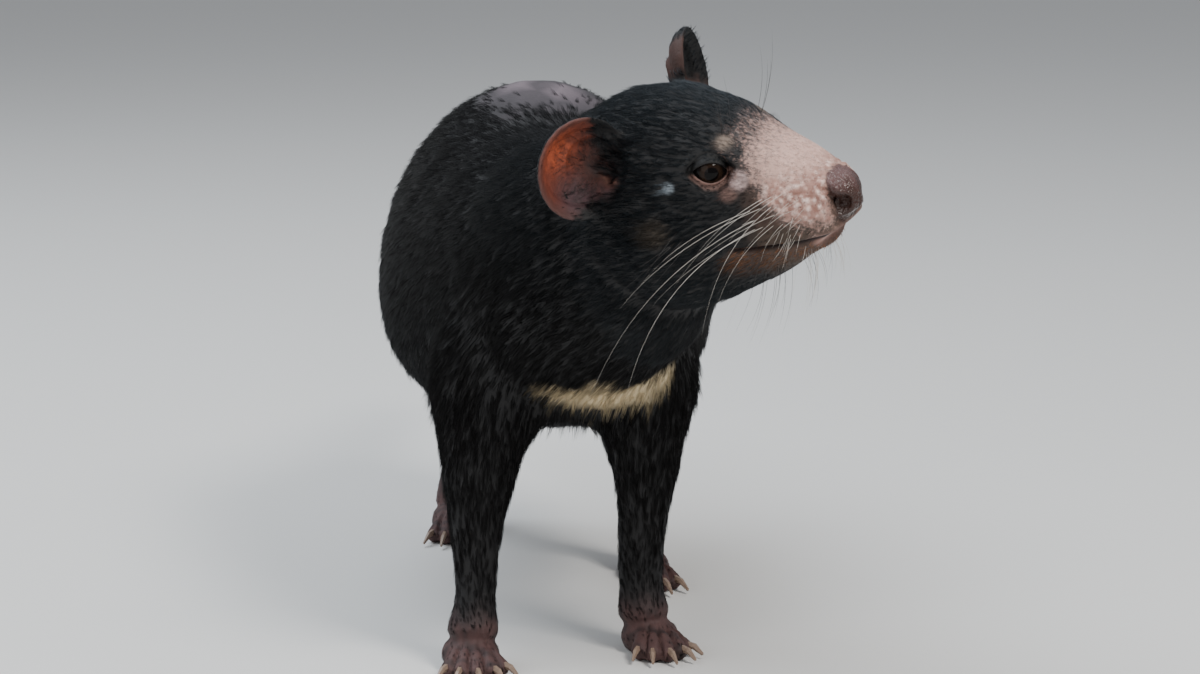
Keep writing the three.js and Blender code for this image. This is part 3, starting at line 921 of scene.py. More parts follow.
def paintMuzzle(head, kinds, coat, hide):
    p = paintSettings
    onHead = np.isin(kinds, headKinds)
    muzzle = muzzleShare(head) * onHead
    coat = mixed(coat, tones["brown"], muzzle * 0.9)
    hide = mixed(hide, tones["brown"], muzzle)
    pink = pinkShare(head) * onHead
    greyed = tones["brown"] + (tones["grey"] - tones["brown"]) * 0.3
    coat = mixed(coat, greyed, rising(pink, 0.2, 0.7))
    hide = mixed(hide, greyed, rising(pink, 0.05, 0.5) * 0.7)
    low = muzzle * rising(-head[:, 2], *p["lowMuzzle"])
    coat = mixed(coat, tones["cheek"], low * 0.85)
    hide = mixed(hide, tones["cheek"], low * 0.6)
    spots = np.zeros(len(head))
    near = np.flatnonzero(pink + muzzle > 0.1)
    for root in np.vstack(list(whiskerRoots.values())):
        away = np.linalg.norm(head[near] - root, axis=1)
        spots[near] = np.maximum(spots[near], hill(away, p["whiskerSpot"]))
    pink = pink * (1 - 0.75 * spots)
    jaw = (kinds == "lower_jaw") * rising(-head[:, 1], *p["jawFront"]) * rising(head[:, 2], *p["jawLow"])
    jaw = jaw * np.clip(0.7 + 0.5 * waver(head, 7, 22), 0, 1)
    coat = mixed(coat, tones["jawTan"], jaw)
    hide = mixed(hide, tones["brown"], jaw)
    for spot, reach, name in markSettings.values():
        away = np.linalg.norm(mirrored(head) - np.array(spot), axis=1)
        share = rising(-away, -reach * 1.25, -reach * 0.5) * onHead * (0.75 + 0.25 * waver(head, 4, 21))
        coat = mixed(coat, tones[name], share)
        hide = mixed(hide, tones[name], share)
        pink = pink * (1 - 0.7 * share)
    return coat, hide, pink


def paintNose(head, onHead, nose, coat, hide, pink):
    p = paintSettings
    # A band along the pad's lower edge is painted brown: painted shade in the crease between pad and muzzle.
    rim = hill(beforePadEdge(head), p["rim"]) * rising(-head[:, 2], *p["rimLow"])
    rim = rim * (head[:, 1] < p["noseBack"]) * onHead
    pink = pink * (1 - nose) * (1 - 0.8 * rim)
    hide = mixed(hide, tones["brown"], rim)
    hide = mixed(hide, tones["nose"], nose)
    # The top of the nose pad is painted paler: a painted highlight where the light falls on it.
    lit = rising(head[:, 2] + 2 * waver(head, 9, 41), *p["noseLit"])
    hide = mixed(hide, tones["noseTopHighlight"], nose * lit)
    # The nostril hole and slit are painted near-black: painted shade in the recess.
    toHole, toSlit = nostrilSpans(head)[:2]
    nostrilShade = np.maximum(hill(toHole, p["hole"]), 0.85 * hill(toSlit, p["slit"]))
    hide = mixed(hide, tones["nostril"], nostrilShade * nose)
    offset, share = mouthOffset(head)
    lip = lipShare(head) * onHead
    hide = mixed(hide, tones["lipPink"], lip)
    coat = mixed(coat, tones["lipPink"], lip)
    # The groove between the lips is painted dark: painted shade in the crease.
    line = hill(offset, p["lipLine"]) * rising(share, 0.0, 0.1) * onHead
    hide = mixed(hide, tones["gapShade"], line)
    return coat, hide, pink * (1 - lip)


def paintLids(head, hide, pink):
    p = paintSettings
    for hand in (-1, 1):
        local = toEye(head, hand)
        gapOut = lidGap(local)
        near = (local[:, 2] > 0) & (np.linalg.norm(local, axis=1) < p["lidFar"])
        lower = rising(-local[:, 1] - 0.2 * local[:, 0], -1.0, 1.0)
        hide = mixed(hide, tones["lidDark"], rising(-gapOut, *p["lidDark"]) * near * (1 - lower))
        hide = mixed(hide, tones["lidTan"], rising(-gapOut, *p["lidTan"]) * near * lower * 0.8)
        hide = mixed(hide, tones["lid"], hill(gapOut - p["lidEdge"], 0.7) * near * lower)
        # The skin tucked under the lids round the eyeball is painted dark: painted shade in the gap.
        hide = mixed(hide, tones["gapShade"], rising(-gapOut, -0.35, 0.1) * near)
        pink = pink * (1 - near * rising(-gapOut, -5.0, -2.5))
    return hide, pink


def paint(place, head, kinds, nose):
    p = paintSettings
    back = rising(-head[:, 2] + 0.3 * head[:, 1], *p["brownBack"])
    coat = mixed(np.tile(tones["black"], (len(place), 1)), tones["brownBlack"], back * 0.8)
    hide = np.tile(tones["hide"], (len(place), 1))
    coat, hide, pink = paintMuzzle(head, kinds, coat, hide)
    coat, hide, pink = paintNose(head, np.isin(kinds, headKinds), nose, coat, hide, pink)
    hide, pink = paintLids(head, hide, pink)
    foot = relaxedFlag["foot"] * rising(-place[:, 2] + 3 * waver(place, 15, 52), *p["footTop"])
    hide = mixed(hide, tones["foot"], foot)
    hide = mixed(hide, tones["footDark"], foot * rising(waver(place, 17, 51), -0.1, 0.8) * 0.7)
    band = bandShare(place)
    coat = mixed(coat, tones["cream"], band)
    hide = mixed(hide, tones["cream"], band)
    bare = bareShare(place)
    hide = mixed(hide, tones["bare"], bare ** 2)
    # The middle of the bare patch is painted paler in patches: partly its own mottled skin, partly a painted
    # highlight.
    patchy = rising(waver(place, 46, 61) + 0.4 * waver(place, 9, 62), -0.3, 0.8)
    hide = mixed(hide, tones["bareMottleAndSheen"], rising(bare, 0.5, 1.0) * patchy)
    hide, coat = paintEars(head, hide, coat, relaxedFlag["ear"])
    return coat, hide, pink, band, bare


# The bare skin inside each ear; the far ear also shows a bare strip along its inner edge.
def earSkin(head, hand, ear):
    local = toEar(head, hand)
    facing = rising(-unit(skinNormals @ headAxes) @ earTurnOf(hand)[:, 1], -0.1, 0.25)
    inside = insideEar(head) * (ear > 0.25) * (np.linalg.norm(local, axis=1) < 32) * facing
    inside = np.maximum(inside, hollowShare(head, hand))
    ripple = 3.5 * waver(head, 10, 73) + 1.5 * waver(head, 3.5, 74)
    furred = rising(local[:, 2] - 1.2 * local[:, 0] + ripple, 14, 22)
    lowEnd = rising(-local[:, 0] - local[:, 2] + 2 * waver(head, 5, 79), 22, 27)
    share = inside * (1 - furred) * (1 - lowEnd)
    if hand > 0:
        edge = waver(head, 7, 75)
        strip = rising(local[:, 2] + 1.5 * edge, 4, 11) * rising(-local[:, 0], -11, -5)
        share = share * rising(-local[:, 0] + 2 * edge, -12, -6)
        share = np.maximum(share, strip * rising(local[:, 0], -14, -8) * (ear > 0.25))
    return share


def paintEars(head, hide, coat, ear):
    for hand in (-1, 1):
        local = toEar(head, hand)
        here = earSkin(head, hand, ear)[:, None]
        ripple = 2.5 * waver(head, 12, 71) + 1.2 * waver(head, 4, 72)
        toCanal, angle = aroundCanal(local)
        inner = np.tile(tones["rust"], (len(head), 1))
        # The bright orange patch high in each ear is painted light: a glow of light coming through the thin
        # ear.
        backlitGlow = hill(np.hypot((local[:, 0] - 12.0) / 10.0, (local[:, 2] - 6.0 + ripple) / 11.0), 1.0)
        backlitGlow = backlitGlow * (0.75 + 0.35 * waver(head, 5, 78))
        inner = mixed(inner, tones["rustBacklit"], backlitGlow * 0.9)
        lilac = rising(-local[:, 2] + ripple, 0, 13) * rising(-local[:, 0], -14, 2)
        inner = mixed(inner, tones["lilac"], lilac)
        fromMiddle = np.hypot(local[:, 0], local[:, 2]) + 0.5 * ripple
        inner = mixed(inner, tones["rim"], rising(fromMiddle, 19, 24) * 0.7)
        # The canal and the hollow round it are painted dark: painted shade in the recess.
        inner = mixed(inner, tones["canal"], hill(toCanal + 0.6 * ripple, 9.0) * 0.9)
        streak = np.sin(angle * 23 + 2.5 * waver(head, 8, 76)) + 0.6 * waver(head, 3, 77)
        streak = rising(streak, 0.2, 1.2) * 0.55 * rising(-toCanal, -26, -12)
        inner = mixed(inner, tones["canal"], streak)
        # The far ear is painted darker brown all over, painted shade, with a lilac spot over it.
        if hand > 0:
            inner = mixed(inner, tones["earBrown"], np.ones(len(head)) * 0.85)
            fromLilac = np.linalg.norm(local - np.array((6, 3, 12)), axis=1)
            inner = mixed(inner, tones["earLilac"], hill(fromLilac, 5.0) * 0.9)
        inner = mixed(inner, tones["fold"], foldShare(local))
        hide = hide + (inner - hide) * here
        coat = coat + (inner * 0.35 - coat) * here
    return hide, coat


skinPoints = pointsOf(skin.data)
skinNormals = normalsOf(skin.data)
edges = edgesOf(skin.data)
owner = ownersOf(skinPoints)
kinds = kindsOf(owner)
headPlace = toHead(skinPoints)
bodyPlace = skinPoints / mm
onHead = np.isin(kinds, headKinds)
relaxedFlag = {name: relaxed((kinds == name).astype(float), edges, 4) for name in ("nose", "ear", "foot")}
nose = relaxedFlag["nose"] * rising(beforePadEdge(headPlace), -0.7, 0.7)
nose = nose * rising(headPlace[:, 2] - noseSettings["edgeLow"], -1.5, 1.5)
wetNose = nose * (1 - 0.9 * hill(nostrilSpans(headPlace)[0], 4.4))
coatTone, hideTone, pink, band, bare = paint(bodyPlace, headPlace, kinds, nose)
padShare = rising(-headPlace[:, 2], 14, 26) * pink
offset, share = mouthOffset(headPlace)
wetLips = hill(offset, 2.0) * rising(share, 0.5, 0.9) * np.isin(kinds, ("head", "lower_jaw"))
gloss = np.maximum(np.maximum(wetNose, bare * 0.55), wetLips)
for name, values in {"gloss": gloss, "noseShare": wetNose, "pinkShare": pink, "padShare": padShare}.items():
    addAttribute(skin.data, name, "FLOAT", "POINT", values)
alpha = np.ones((len(skinPoints), 1))
for name, values in {"tint": hideTone, "coatTint": coatTone}.items():
    addAttribute(skin.data, name, "FLOAT_COLOR", "POINT", np.hstack((values, alpha)))
print("skin: painted")

# The lie of the coat: away from the nose on the head, back and down along the body.
nosePoint = np.array((0.0, -110.0, -34.0))
layTable = {
    "torso": (0.0, 1.0, -0.45), "neck": (0.0, 0.75, -0.75), "tail": (0.0, 0.95, -0.35),
    "upper": (0.0, 0.35, -1.0), "lower": (0.0, 0.1, -1.0), "foot": (0.05, -0.9, -0.4),
}


def layField():
    table = np.array([layTable.get(kindOf(n), (0, 0, 0)) for n in fleshNodes], float)
    lay = unit(table[owner] + 1e-6)
    fromNose = unit(dirFromHead(headPlace - nosePoint))
    lay = np.where(onHead[:, None], fromNose, lay)
    lay = np.where((kinds == "neck")[:, None], unit(lay + fromNose), lay)
    for hand in (-1, 1):
        away = unit(dirFromHead(headPlace - earRootOf(hand)))
        here = (kinds == "ear") & (headPlace[:, 0] * hand > 0)
        lay = np.where(here[:, None], away, lay)
    lay = relaxed(lay, edges, 200)
    lay = lay - skinNormals * np.sum(lay * skinNormals, axis=1, keepdims=True)
    return unit(lay)


lay = layField()
addAttribute(skin.data, "lay", "FLOAT_VECTOR", "POINT", lay)

# Coat sizes in millimetres by place: length, how high the tips stand, and the width of a tuft's hairs.
coatTable = {
    "torso": (16, 2.2, 0.33), "neck": (13, 2.1, 0.31), "head": (8.5, 1.1, 0.22), "lower_jaw": (9, 1.2, 0.22),
    "nose": (1, 0.2, 0.2), "ear": (3.4, 0.5, 0.13), "tail": (17, 2.6, 0.34), "upper": (11, 1.7, 0.3),
    "lower": (6.5, 0.9, 0.25), "foot": (3.2, 0.35, 0.14), "eye": (1, 0.3, 0.2),
}


def coatSizes():
    table = np.array([coatTable[kindOf(n)] for n in fleshNodes], float)[owner]
    face = rising(-headPlace[:, 1], 10, 85) * np.isin(kinds, ("head", "lower_jaw", "nose"))
    sizes = table * (1 - 0.72 * face)[:, None]
    sizes[:, 2] = table[:, 2] * (1 - 0.4 * face)
    sizes *= 1 - relaxed(rising(bare, 0.0, 0.6), edges, 6)[:, None] * np.array((0.35, 0.8, 0.6))
    sizes[:, :2] *= (1 - 0.45 * relaxed(band, edges, 6))[:, None]
    return np.maximum(relaxed(sizes, edges, 25), 0.1)


# How much of the coat each kind of bare skin takes away, and where the coat starts round the eye and sole.
growthSettings = {
    "footLoss": 0.7, "pinkLoss": 0.3, "padLoss": 0.75, "bareLoss": 0.97, "earLoss": 0.97,
    "lid": (0.8, 2.2), "lidFar": 16.0, "mouthLine": 1.6, "soleTop": 4.0,
}


def coatGrowth():
    g = growthSettings
    growth = 1.0 - relaxed(nose, edges, 3)
    sole = (bodyPlace[:, 2] < g["soleTop"]) | ((kinds == "foot") & (unit(skinNormals)[:, 2] < -0.5))
    growth = growth * (1 - g["footLoss"] * relaxed(relaxedFlag["foot"], edges, 24)) * ~sole
    growth = growth * (1 - g["pinkLoss"] * pink) * (1 - g["padLoss"] * padShare)
    growth = growth * (1 - g["bareLoss"] * rising(bare, 0.15, 0.95))
    for hand in (-1, 1):
        local = toEye(headPlace, hand)
        close = (np.linalg.norm(local, axis=1) < g["lidFar"]) & (local[:, 2] > 0)
        growth = growth * np.where(close, rising(lidGap(local), *g["lid"]), 1)
        growth = growth * (1 - g["earLoss"] * earSkin(headPlace, hand, relaxedFlag["ear"]))
    offset, share = mouthOffset(headPlace)
    growth = growth * (1 - onHead * (share > 0) * hill(offset, g["mouthLine"]))
    return np.clip(growth * (1 - onHead * lipShare(headPlace)), 0, 1)


sizes = coatSizes()
addAttribute(skin.data, "growth", "FLOAT", "POINT", coatGrowth())
for index, name in enumerate(("hairLength", "hairRise", "hairWidth")):
    addAttribute(skin.data, name, "FLOAT", "POINT", sizes[:, index] * mm)

# Patches split the coat into pieces of a size that stays light.
patchNames = [
    "coat_head_right", "coat_head_left", "coat_neck", "coat_chest_right", "coat_chest_left",
    "coat_flank_right", "coat_flank_left", "coat_fore_legs", "coat_hind_legs", "coat_tail",
]


def patchOf():
    middleY = float(midOf("torso").y)
    front = skinPoints[:, 1] < middleY
    right = skinPoints[:, 0] < float(midOf("torso").x)
    patch = np.where(front, np.where(right, 3, 4), np.where(right, 5, 6))
    patch = np.where(kinds == "neck", 2, patch)
    patch = np.where(onHead | (kinds == "ear"), np.where(headPlace[:, 0] < 0, 0, 1), patch)
    legs = np.isin(kinds, ("upper", "lower", "foot"))
    patch = np.where(legs, np.where(skinPoints[:, 1] < -0.15, 7, 8), patch)
    return np.where(kinds == "tail", 9, patch)


def facePatches(mesh, patch):
    first = np.zeros(len(mesh.polygons), np.int32)
    mesh.polygons.foreach_get("loop_start", first)
    corner = np.zeros(len(mesh.loops), np.int32)
    mesh.loops.foreach_get("vertex_index", corner)
    return patch[corner[first]].astype(np.int32)


addAttribute(skin.data, "patch", "INT", "FACE", facePatches(skin.data, patchOf()))


def unwrapSkin():
    bpy.context.view_layer.objects.active = skin
    skin.select_set(True)
    bpy.ops.object.mode_set(mode="EDIT")
    bpy.ops.mesh.select_all(action="SELECT")
    bpy.ops.uv.smart_project(angle_limit=math.radians(66), island_margin=0.002)
    bpy.ops.object.mode_set(mode="OBJECT")
    skin.select_set(False)


def rootPlaces(mesh):
    flat = np.zeros(len(mesh.loops) * 2, np.float32)
    mesh.uv_layers[0].data.foreach_get("uv", flat)
    places = np.hstack((flat.reshape(-1, 2), np.zeros((len(mesh.loops), 1), np.float32)))
    addAttribute(mesh, "rootPlace", "FLOAT_VECTOR", "CORNER", places)


unwrapSkin()
rootPlaces(skin.data)


# One tuft: short closed hairs whose tips draw together, and a longer bent one over them.
tuftSettings = {
    "length": 10.0 * mm, "rise": 2.0 * mm, "width": 0.42 * mm, "spread": 1.9 * mm, "back": 2.6 * mm,
    "sink": 0.5 * mm, "kinds": 6, "straight": 9, "bent": 1, "patchSize": 0.003,
}


def hairRings(root, tip, width, bent):
    rings = [(root, width)]
    if bent:
        middle = root + (tip - root) * 0.5
        middle[2] += 0.34 * (tip[2] - root[2])
        rings.append((middle, width * 0.8))
    points = []
    for centre, size in rings:
        for step in range(3):
            angle = math.radians(90 + 120 * step)
            points.append(centre + np.array((math.cos(angle) * size * 0.5, 0, math.sin(angle) * size * 0.35)))
    points.append(tip)
    return np.array(points), len(rings)


def hairFaces(ringCount, start):
    faces = [(start, start + 1, start + 2)]
    for ring in range(ringCount - 1):
        for step in range(3):
            a = start + ring * 3 + step
            b = start + ring * 3 + (step + 1) % 3
            faces += [(a, a + 3, b + 3), (a, b + 3, b)]
    last = start + (ringCount - 1) * 3
    tip = start + ringCount * 3
    faces += [(last + step, tip, last + (step + 1) % 3) for step in range(3)]
    return faces


def makeTuft(number):
    t = tuftSettings
    draw = np.random.default_rng(100 + number)
    allPoints, allFaces, along, strand, cells = [], [], [], [], []
    gather = draw.normal(0, 0.25 * t["spread"])
    for hair in range(t["straight"] + t["bent"]):
        bent = hair >= t["straight"]
        across = draw.uniform(-1, 1) * t["spread"]
        root = np.array((across, draw.uniform(-1, 1) * t["back"], -t["sink"]))
        reach = t["length"] * draw.uniform(0.75, 1.1) * (1.12 if bent else 1.0)
        tip = np.array((gather + 0.62 * across + draw.normal(0, 0.12) * t["spread"], root[1] + reach,
                        t["rise"] * draw.uniform(0.3, 1.0)))
        points, ringCount = hairRings(root, tip, t["width"] * draw.uniform(0.75, 1.15), bent)
        allFaces += hairFaces(ringCount, len(allPoints))
        allPoints += list(points)
        along += [ring / ringCount for ring in range(ringCount) for _ in range(3)] + [1.0]
        strand += [draw.uniform()] * len(points)
        cells += [hair] * len(points)
    mesh = meshOf(f"tuft{number}", allPoints, allFaces)
    addAttribute(mesh, "along", "FLOAT", "POINT", np.array(along))
    addAttribute(mesh, "strand", "FLOAT", "POINT", np.array(strand))
    cells = np.array(cells)
    down = cells // 4 + 0.15 + 0.7 * np.array(along)
    spots = np.stack((cells % 4 + 0.5, down, np.zeros(len(cells))), 1) / 4
    addAttribute(mesh, "tuftPlace", "FLOAT_VECTOR", "POINT", spots * t["patchSize"])
    smoothShade(mesh)
    return newObject(f"tuft{number}", mesh)


def coatTree(tufts):
    tree = bpy.data.node_groups.new("coat", "GeometryNodeTree")
    sheet = Sheet(tree)
    sockets = {"Geometry": "NodeSocketGeometry", "Patch": "NodeSocketInt", "Spacing": "NodeSocketFloat",
               "Length": "NodeSocketFloat", "Rise": "NodeSocketFloat", "Width": "NodeSocketFloat",
               "Sway": "NodeSocketFloat", "Seed": "NodeSocketInt", "Material": "NodeSocketMaterial"}
    for name, kind in sockets.items():
        tree.interface.new_socket(name, in_out="INPUT", socket_type=kind)
    tree.interface.new_socket("Geometry", in_out="OUTPUT", socket_type="NodeSocketGeometry")
    entry = tree.nodes.new("NodeGroupInput")
    given = {s.name: Wire(sheet, s) for s in entry.outputs}

    def named(name, kind="FLOAT"):
        return sheet.node("GeometryNodeInputNamedAttribute", {"data_type": kind}, {"Name": name})

    chosen = sheet.node("FunctionNodeCompare", {"data_type": "INT", "operation": "EQUAL"},
                        {"A_INT": named("patch", "INT"), "B_INT": given["Patch"]})
    scatter = sheet.node("GeometryNodeDistributePointsOnFaces", {"distribute_method": "POISSON"}, {
        "Mesh": given["Geometry"], "Selection": chosen, "Distance Min": given["Spacing"],
        "Density Max": 0.8 / (given["Spacing"] * given["Spacing"]), "Density Factor": named("growth"),
        "Seed": given["Seed"]})
    normal = Wire(sheet, scatter.socket.node.outputs["Normal"])
    facing = sheet.node("FunctionNodeAxesToRotation", {"primary_axis": "Z", "secondary_axis": "Y"},
                        {"Primary Axis": normal, "Secondary Axis": named("lay", "FLOAT_VECTOR")})
    swing = sheet.node("FunctionNodeRandomValue", {"data_type": "FLOAT_VECTOR"},
                       {"Min": (0, 0, 0), "Max": (1, 1, 1), "Seed": 7})
    parts = sheet.node("ShaderNodeSeparateXYZ", {}, {0: swing}).socket.node
    yaw = (Wire(sheet, parts.outputs[0]) - 0.5) * given["Sway"]
    nod = (Wire(sheet, parts.outputs[1]) - 0.5) * given["Sway"] * 0.35
    turn = sheet.node("ShaderNodeCombineXYZ", {}, {"X": nod, "Z": yaw})
    spin = sheet.node("FunctionNodeEulerToRotation", {}, {0: turn})
    facing = sheet.node("FunctionNodeRotateRotation", {"rotation_space": "LOCAL"}, {0: facing, 1: spin})
    vary = Wire(sheet, parts.outputs[2]) * 0.4 + 0.8
    size = sheet.node("ShaderNodeCombineXYZ", {}, {
        "X": named("hairWidth") * given["Width"], "Y": named("hairLength") * given["Length"] * vary,
        "Z": named("hairRise") * given["Rise"] * vary})
    bunch = sheet.node("GeometryNodeCollectionInfo", {"transform_space": "ORIGINAL"},
                       {"Collection": tufts, "Separate Children": True, "Reset Children": True})
    placed = sheet.node("GeometryNodeInstanceOnPoints", {}, {
        "Points": scatter, "Instance": bunch, "Pick Instance": True, "Rotation": facing, "Scale": size})
    real = sheet.node("GeometryNodeRealizeInstances", {}, {0: placed})
    spot = sheet.node("ShaderNodeVectorMath", {"operation": "ADD"},
                      {0: named("rootPlace", "FLOAT_VECTOR"), 1: named("tuftPlace", "FLOAT_VECTOR")})
    mapped = sheet.node("GeometryNodeStoreNamedAttribute", {"data_type": "FLOAT2", "domain": "CORNER"},
                        {"Geometry": real, "Name": "OFBake", "Value": spot})
    clothed = sheet.node("GeometryNodeSetMaterial", {}, {"Geometry": mapped, "Material": given["Material"]})
    sheet.node("NodeGroupOutput", {}, {"Geometry": clothed})
    return tree


coatSettings = {
    "spacing": {
        "coat_head_right": 1.27, "coat_head_left": 1.38, "coat_neck": 1.65, "coat_chest_right": 1.92,
        "coat_chest_left": 1.92, "coat_flank_right": 2.03, "coat_flank_left": 2.03, "coat_fore_legs": 1.62,
        "coat_hind_legs": 1.78, "coat_tail": 2.0,
    },
    "sway": 0.36,
    "seed": 11,
}


def hairRecipe(sheet, rough):
    strand = sheet.share("strand")
    pale = (sheet.share("pinkShare") * 1.14 - strand).between(-0.02, 0.28)
    colour = sheet.blend(pale, sheet.attribute("coatTint"), tones["pinkHair"])
    shade = 0.68 + 0.56 * strand + 0.25 * sheet.share("along")
    return {"Base Color": colour.scaled(shade), "Roughness": rough + 0.2 * strand}


def skinRecipe(sheet):
    fine, coarse, grain = sheet.noise(1400.0, 4.0), sheet.noise(380.0), sheet.noise(640.0, 4.0, 0.65)
    nose, pad, gloss, pink = (sheet.share(name) for name in ("noseShare", "padShare", "gloss", "pinkShare"))
    pebbles, warts = sheet.cells(820.0, 0.6), sheet.cells(290.0, 0.35)
    blotch = sheet.noise(310.0).between(0.40, 0.62) * pad
    pale = sheet.noise(420.0, 2.0, place=sheet.aside()).between(0.50, 0.66) * pad
    wart = (1.0 - warts.between(0.10, 0.42)) * pad
    pore = (1.0 - sheet.cells(620.0).between(0.08, 0.24)) * (0.35 + 0.4 * pad)
    between = warts.between(0.34, 0.62) * pad
    layers = (
        (blotch * 0.8, "pinkDeep"), (pale * 0.8, "pinkPale"), (between * 0.7, "pinkDeep"),
        (wart * 0.9, "pinkPale"), (pore, "brown"), (grain.between(0.35, 0.75) * 0.5, "pinkDeep"),
    )
    flesh = tones["pink"]
    for share, name in layers:
        flesh = sheet.blend(share, flesh, tones[name])
    share = (pink + 1.5 * (grain - 0.5)).between(0.15, 0.85) * pink.between(0.0, 0.12)
    tint = sheet.blend(share, sheet.attribute("tint"), flesh)
    # On the nose the grooves between pebbles are darker: painted shade.
    shade = 0.74 + 0.52 * coarse - 0.2 * nose * pebbles
    height = fine * 0.35 + coarse * 0.65 - nose * pebbles * 1.6 - 0.5 * pore + 0.9 * wart
    return {
        "Base Color": tint.scaled(shade),
        "Roughness": 0.60 + 0.16 * fine - 0.28 * gloss - 0.14 * nose,
        "Normal": bumped(sheet, height, 0.5, 0.0010),
    }


headSheen = {"Specular IOR Level": 0.34, "Specular Tint": (0.72, 0.88, 1.0, 1.0)}
bodySheen = {"Specular IOR Level": 0.16, "Specular Tint": (0.80, 0.92, 1.0, 1.0)}
headCoat = newMaterial("head hair", headSheen, lambda sheet: hairRecipe(sheet, 0.32))
bodyCoat = newMaterial("body hair", bodySheen, lambda sheet: hairRecipe(sheet, 0.46))
skinMaterial = newMaterial("bare skin", {"Specular IOR Level": 0.38}, skinRecipe)

tuftCollection = bpy.data.collections.new("tufts")
for number in range(tuftSettings["kinds"]):
    tuft = makeTuft(number)
    bpy.context.scene.collection.objects.unlink(tuft)
    tuftCollection.objects.link(tuft)
tree = coatTree(tuftCollection)
identifiers = {s.name: s.identifier for s in tree.interface.items_tree if s.in_out == "INPUT"}

coatPieces = []
hairTotal = 0
for number, name in enumerate(patchNames):
    piece = newObject(name, skin.data)
    grower = piece.modifiers.new("coat", "NODES")
    grower.node_group = tree
    values = {
        "Patch": number, "Spacing": coatSettings["spacing"][name] * mm, "Length": 1 / tuftSettings["length"],
        "Rise": 1 / tuftSettings["rise"], "Width": 1 / tuftSettings["width"], "Sway": coatSettings["sway"],
        "Seed": coatSettings["seed"] + number, "Material": headCoat if "head" in name else bodyCoat,
    }
    for key, value in values.items():
        grower[identifiers[key]] = value
    frozen(piece)
    count = len(piece.data.polygons)
    hairTotal += count
    print("coat:", name, count, [u.name for u in piece.data.uv_layers])
    coatPieces.append(piece)
for tuft in list(tuftCollection.objects):
    bpy.data.objects.remove(tuft)
bpy.data.collections.remove(tuftCollection)
print("coat: all pieces", hairTotal)

smoothShade(skin.data)
settle(skin, skinMaterial, "coat", *(n for n in fleshNodes if not n.startswith("eye")))
for piece in coatPieces:
    settle(piece, None, "coat")


# Eyeballs: a dark brown iris round a wide pupil, under a clear wet front.
def eyeRecipe(sheet):
    streak = sheet.noise(1500.0)
    ramp = {"stops": [
        (0.0, (0.002, 0.002, 0.002)), (0.38, (0.003, 0.002, 0.002)), (0.44, (0.020, 0.011, 0.007)),
        (0.62, (0.014, 0.008, 0.005)), (0.72, (0.004, 0.003, 0.003)),
    ]}
    distance = sheet.share("fromPupil") + 0.06 * (streak - 0.5)
    colour = sheet.node("ShaderNodeValToRGB", ramp, {0: distance})
    return {"Base Color": colour}


eyeMaterial = newMaterial("wet eye", {"Roughness": 0.05, "Specular IOR Level": 0.12}, eyeRecipe)


def makeEye(hand):
    side = "right" if hand < 0 else "left"
    radius = headSettings["eyeRadius"] / mm
    shape = bmesh.new()
    bmesh.ops.create_icosphere(shape, subdivisions=5, radius=radius)
    mesh = bpy.data.meshes.new(f"eyeball_{side}")
    shape.to_mesh(mesh)
    shape.free()
    local = pointsOf(mesh)
    ring = np.linalg.norm(local[:, :2], axis=1)
    front = local[:, 2] > 0
    addAttribute(mesh, "fromPupil", "FLOAT", "POINT", np.where(front, ring / radius, 1.0))
    local[:, 2] += np.where(front, 0.5 * rising(-ring, -6.0, 0.0), 0)  # the clear front stands proud
    setPoints(mesh, fromHead(fromEye(local, hand)))
    smoothShade(mesh)
    settle(newObject(mesh.name, mesh), eyeMaterial, "eye", f"eye_{side}")


for hand in (-1, 1):
    makeEye(hand)


# Single hairs: each is a thin closed tube that bends from its root to its end and thins on the way.
def hairTube(path, thick):
    sides = 4
    path = np.array(path)
    ways = unit(np.gradient(path, axis=0))
    side = unit(np.cross(ways, (0.13, 0.21, 0.97)))
    above = np.cross(side, ways)
    points, faces = [], []
    count = len(path)
    for index in range(count - 1):
        radius = thick / 2 * (1 - 0.85 * index / (count - 1))
        for step in range(sides):
            angle = 2 * math.pi * step / sides
            outward = math.cos(angle) * side[index] + math.sin(angle) * above[index]
            points.append(path[index] + radius * outward)
    points.append(path[-1])
    for index in range(count - 2):
        for step in range(sides):
            a, b = index * sides + step, index * sides + (step + 1) % sides
            faces.append((a, b, b + sides, a + sides))
    last = (count - 2) * sides
    faces += [(last + step, last + (step + 1) % sides, len(points) - 1) for step in range(sides)]
    faces.append(tuple(reversed(range(sides))))
    return points, faces


def bentPath(root, middle, end, steps):
    shares = np.linspace(0, 1, steps)[:, None]
    return (1 - shares) ** 2 * root + 2 * shares * (1 - shares) * middle + shares ** 2 * end


def hairPiece(name, hairs, material):
    allPoints, allFaces = [], []
    for path, thick in hairs:
        points, faces = hairTube(path, thick)
        allFaces += [tuple(v + len(allPoints) for v in f) for f in faces]
        allPoints += list(points)
    mesh = meshOf(name, allPoints, allFaces)
    smoothShade(mesh)
    settle(newObject(name, mesh), material, "coat")


def singleHairRecipe(sheet, first, second):
    return {"Base Color": sheet.blend(sheet.noise(60.0), first, second)}


paleTones = ((0.50, 0.44, 0.38), (0.80, 0.76, 0.70))
darkTones = ((0.012, 0.010, 0.010), (0.05, 0.04, 0.035))
paleHair = newMaterial("pale hair", {"Roughness": 0.3}, lambda sheet: singleHairRecipe(sheet, *paleTones))
darkHair = newMaterial("dark hair", {"Roughness": 0.32}, lambda sheet: singleHairRecipe(sheet, *darkTones))

whiskerSettings = {
    "thick": 0.24 * mm, "steps": 18, "shortest": 14.0, "longest": 112.0,
    "sweep": (0.40, 0.76, -0.22), "droop": 54.0, "scatter": 0.2, "rise": 0.38, "follow": 0.26, "seed": 4,
}


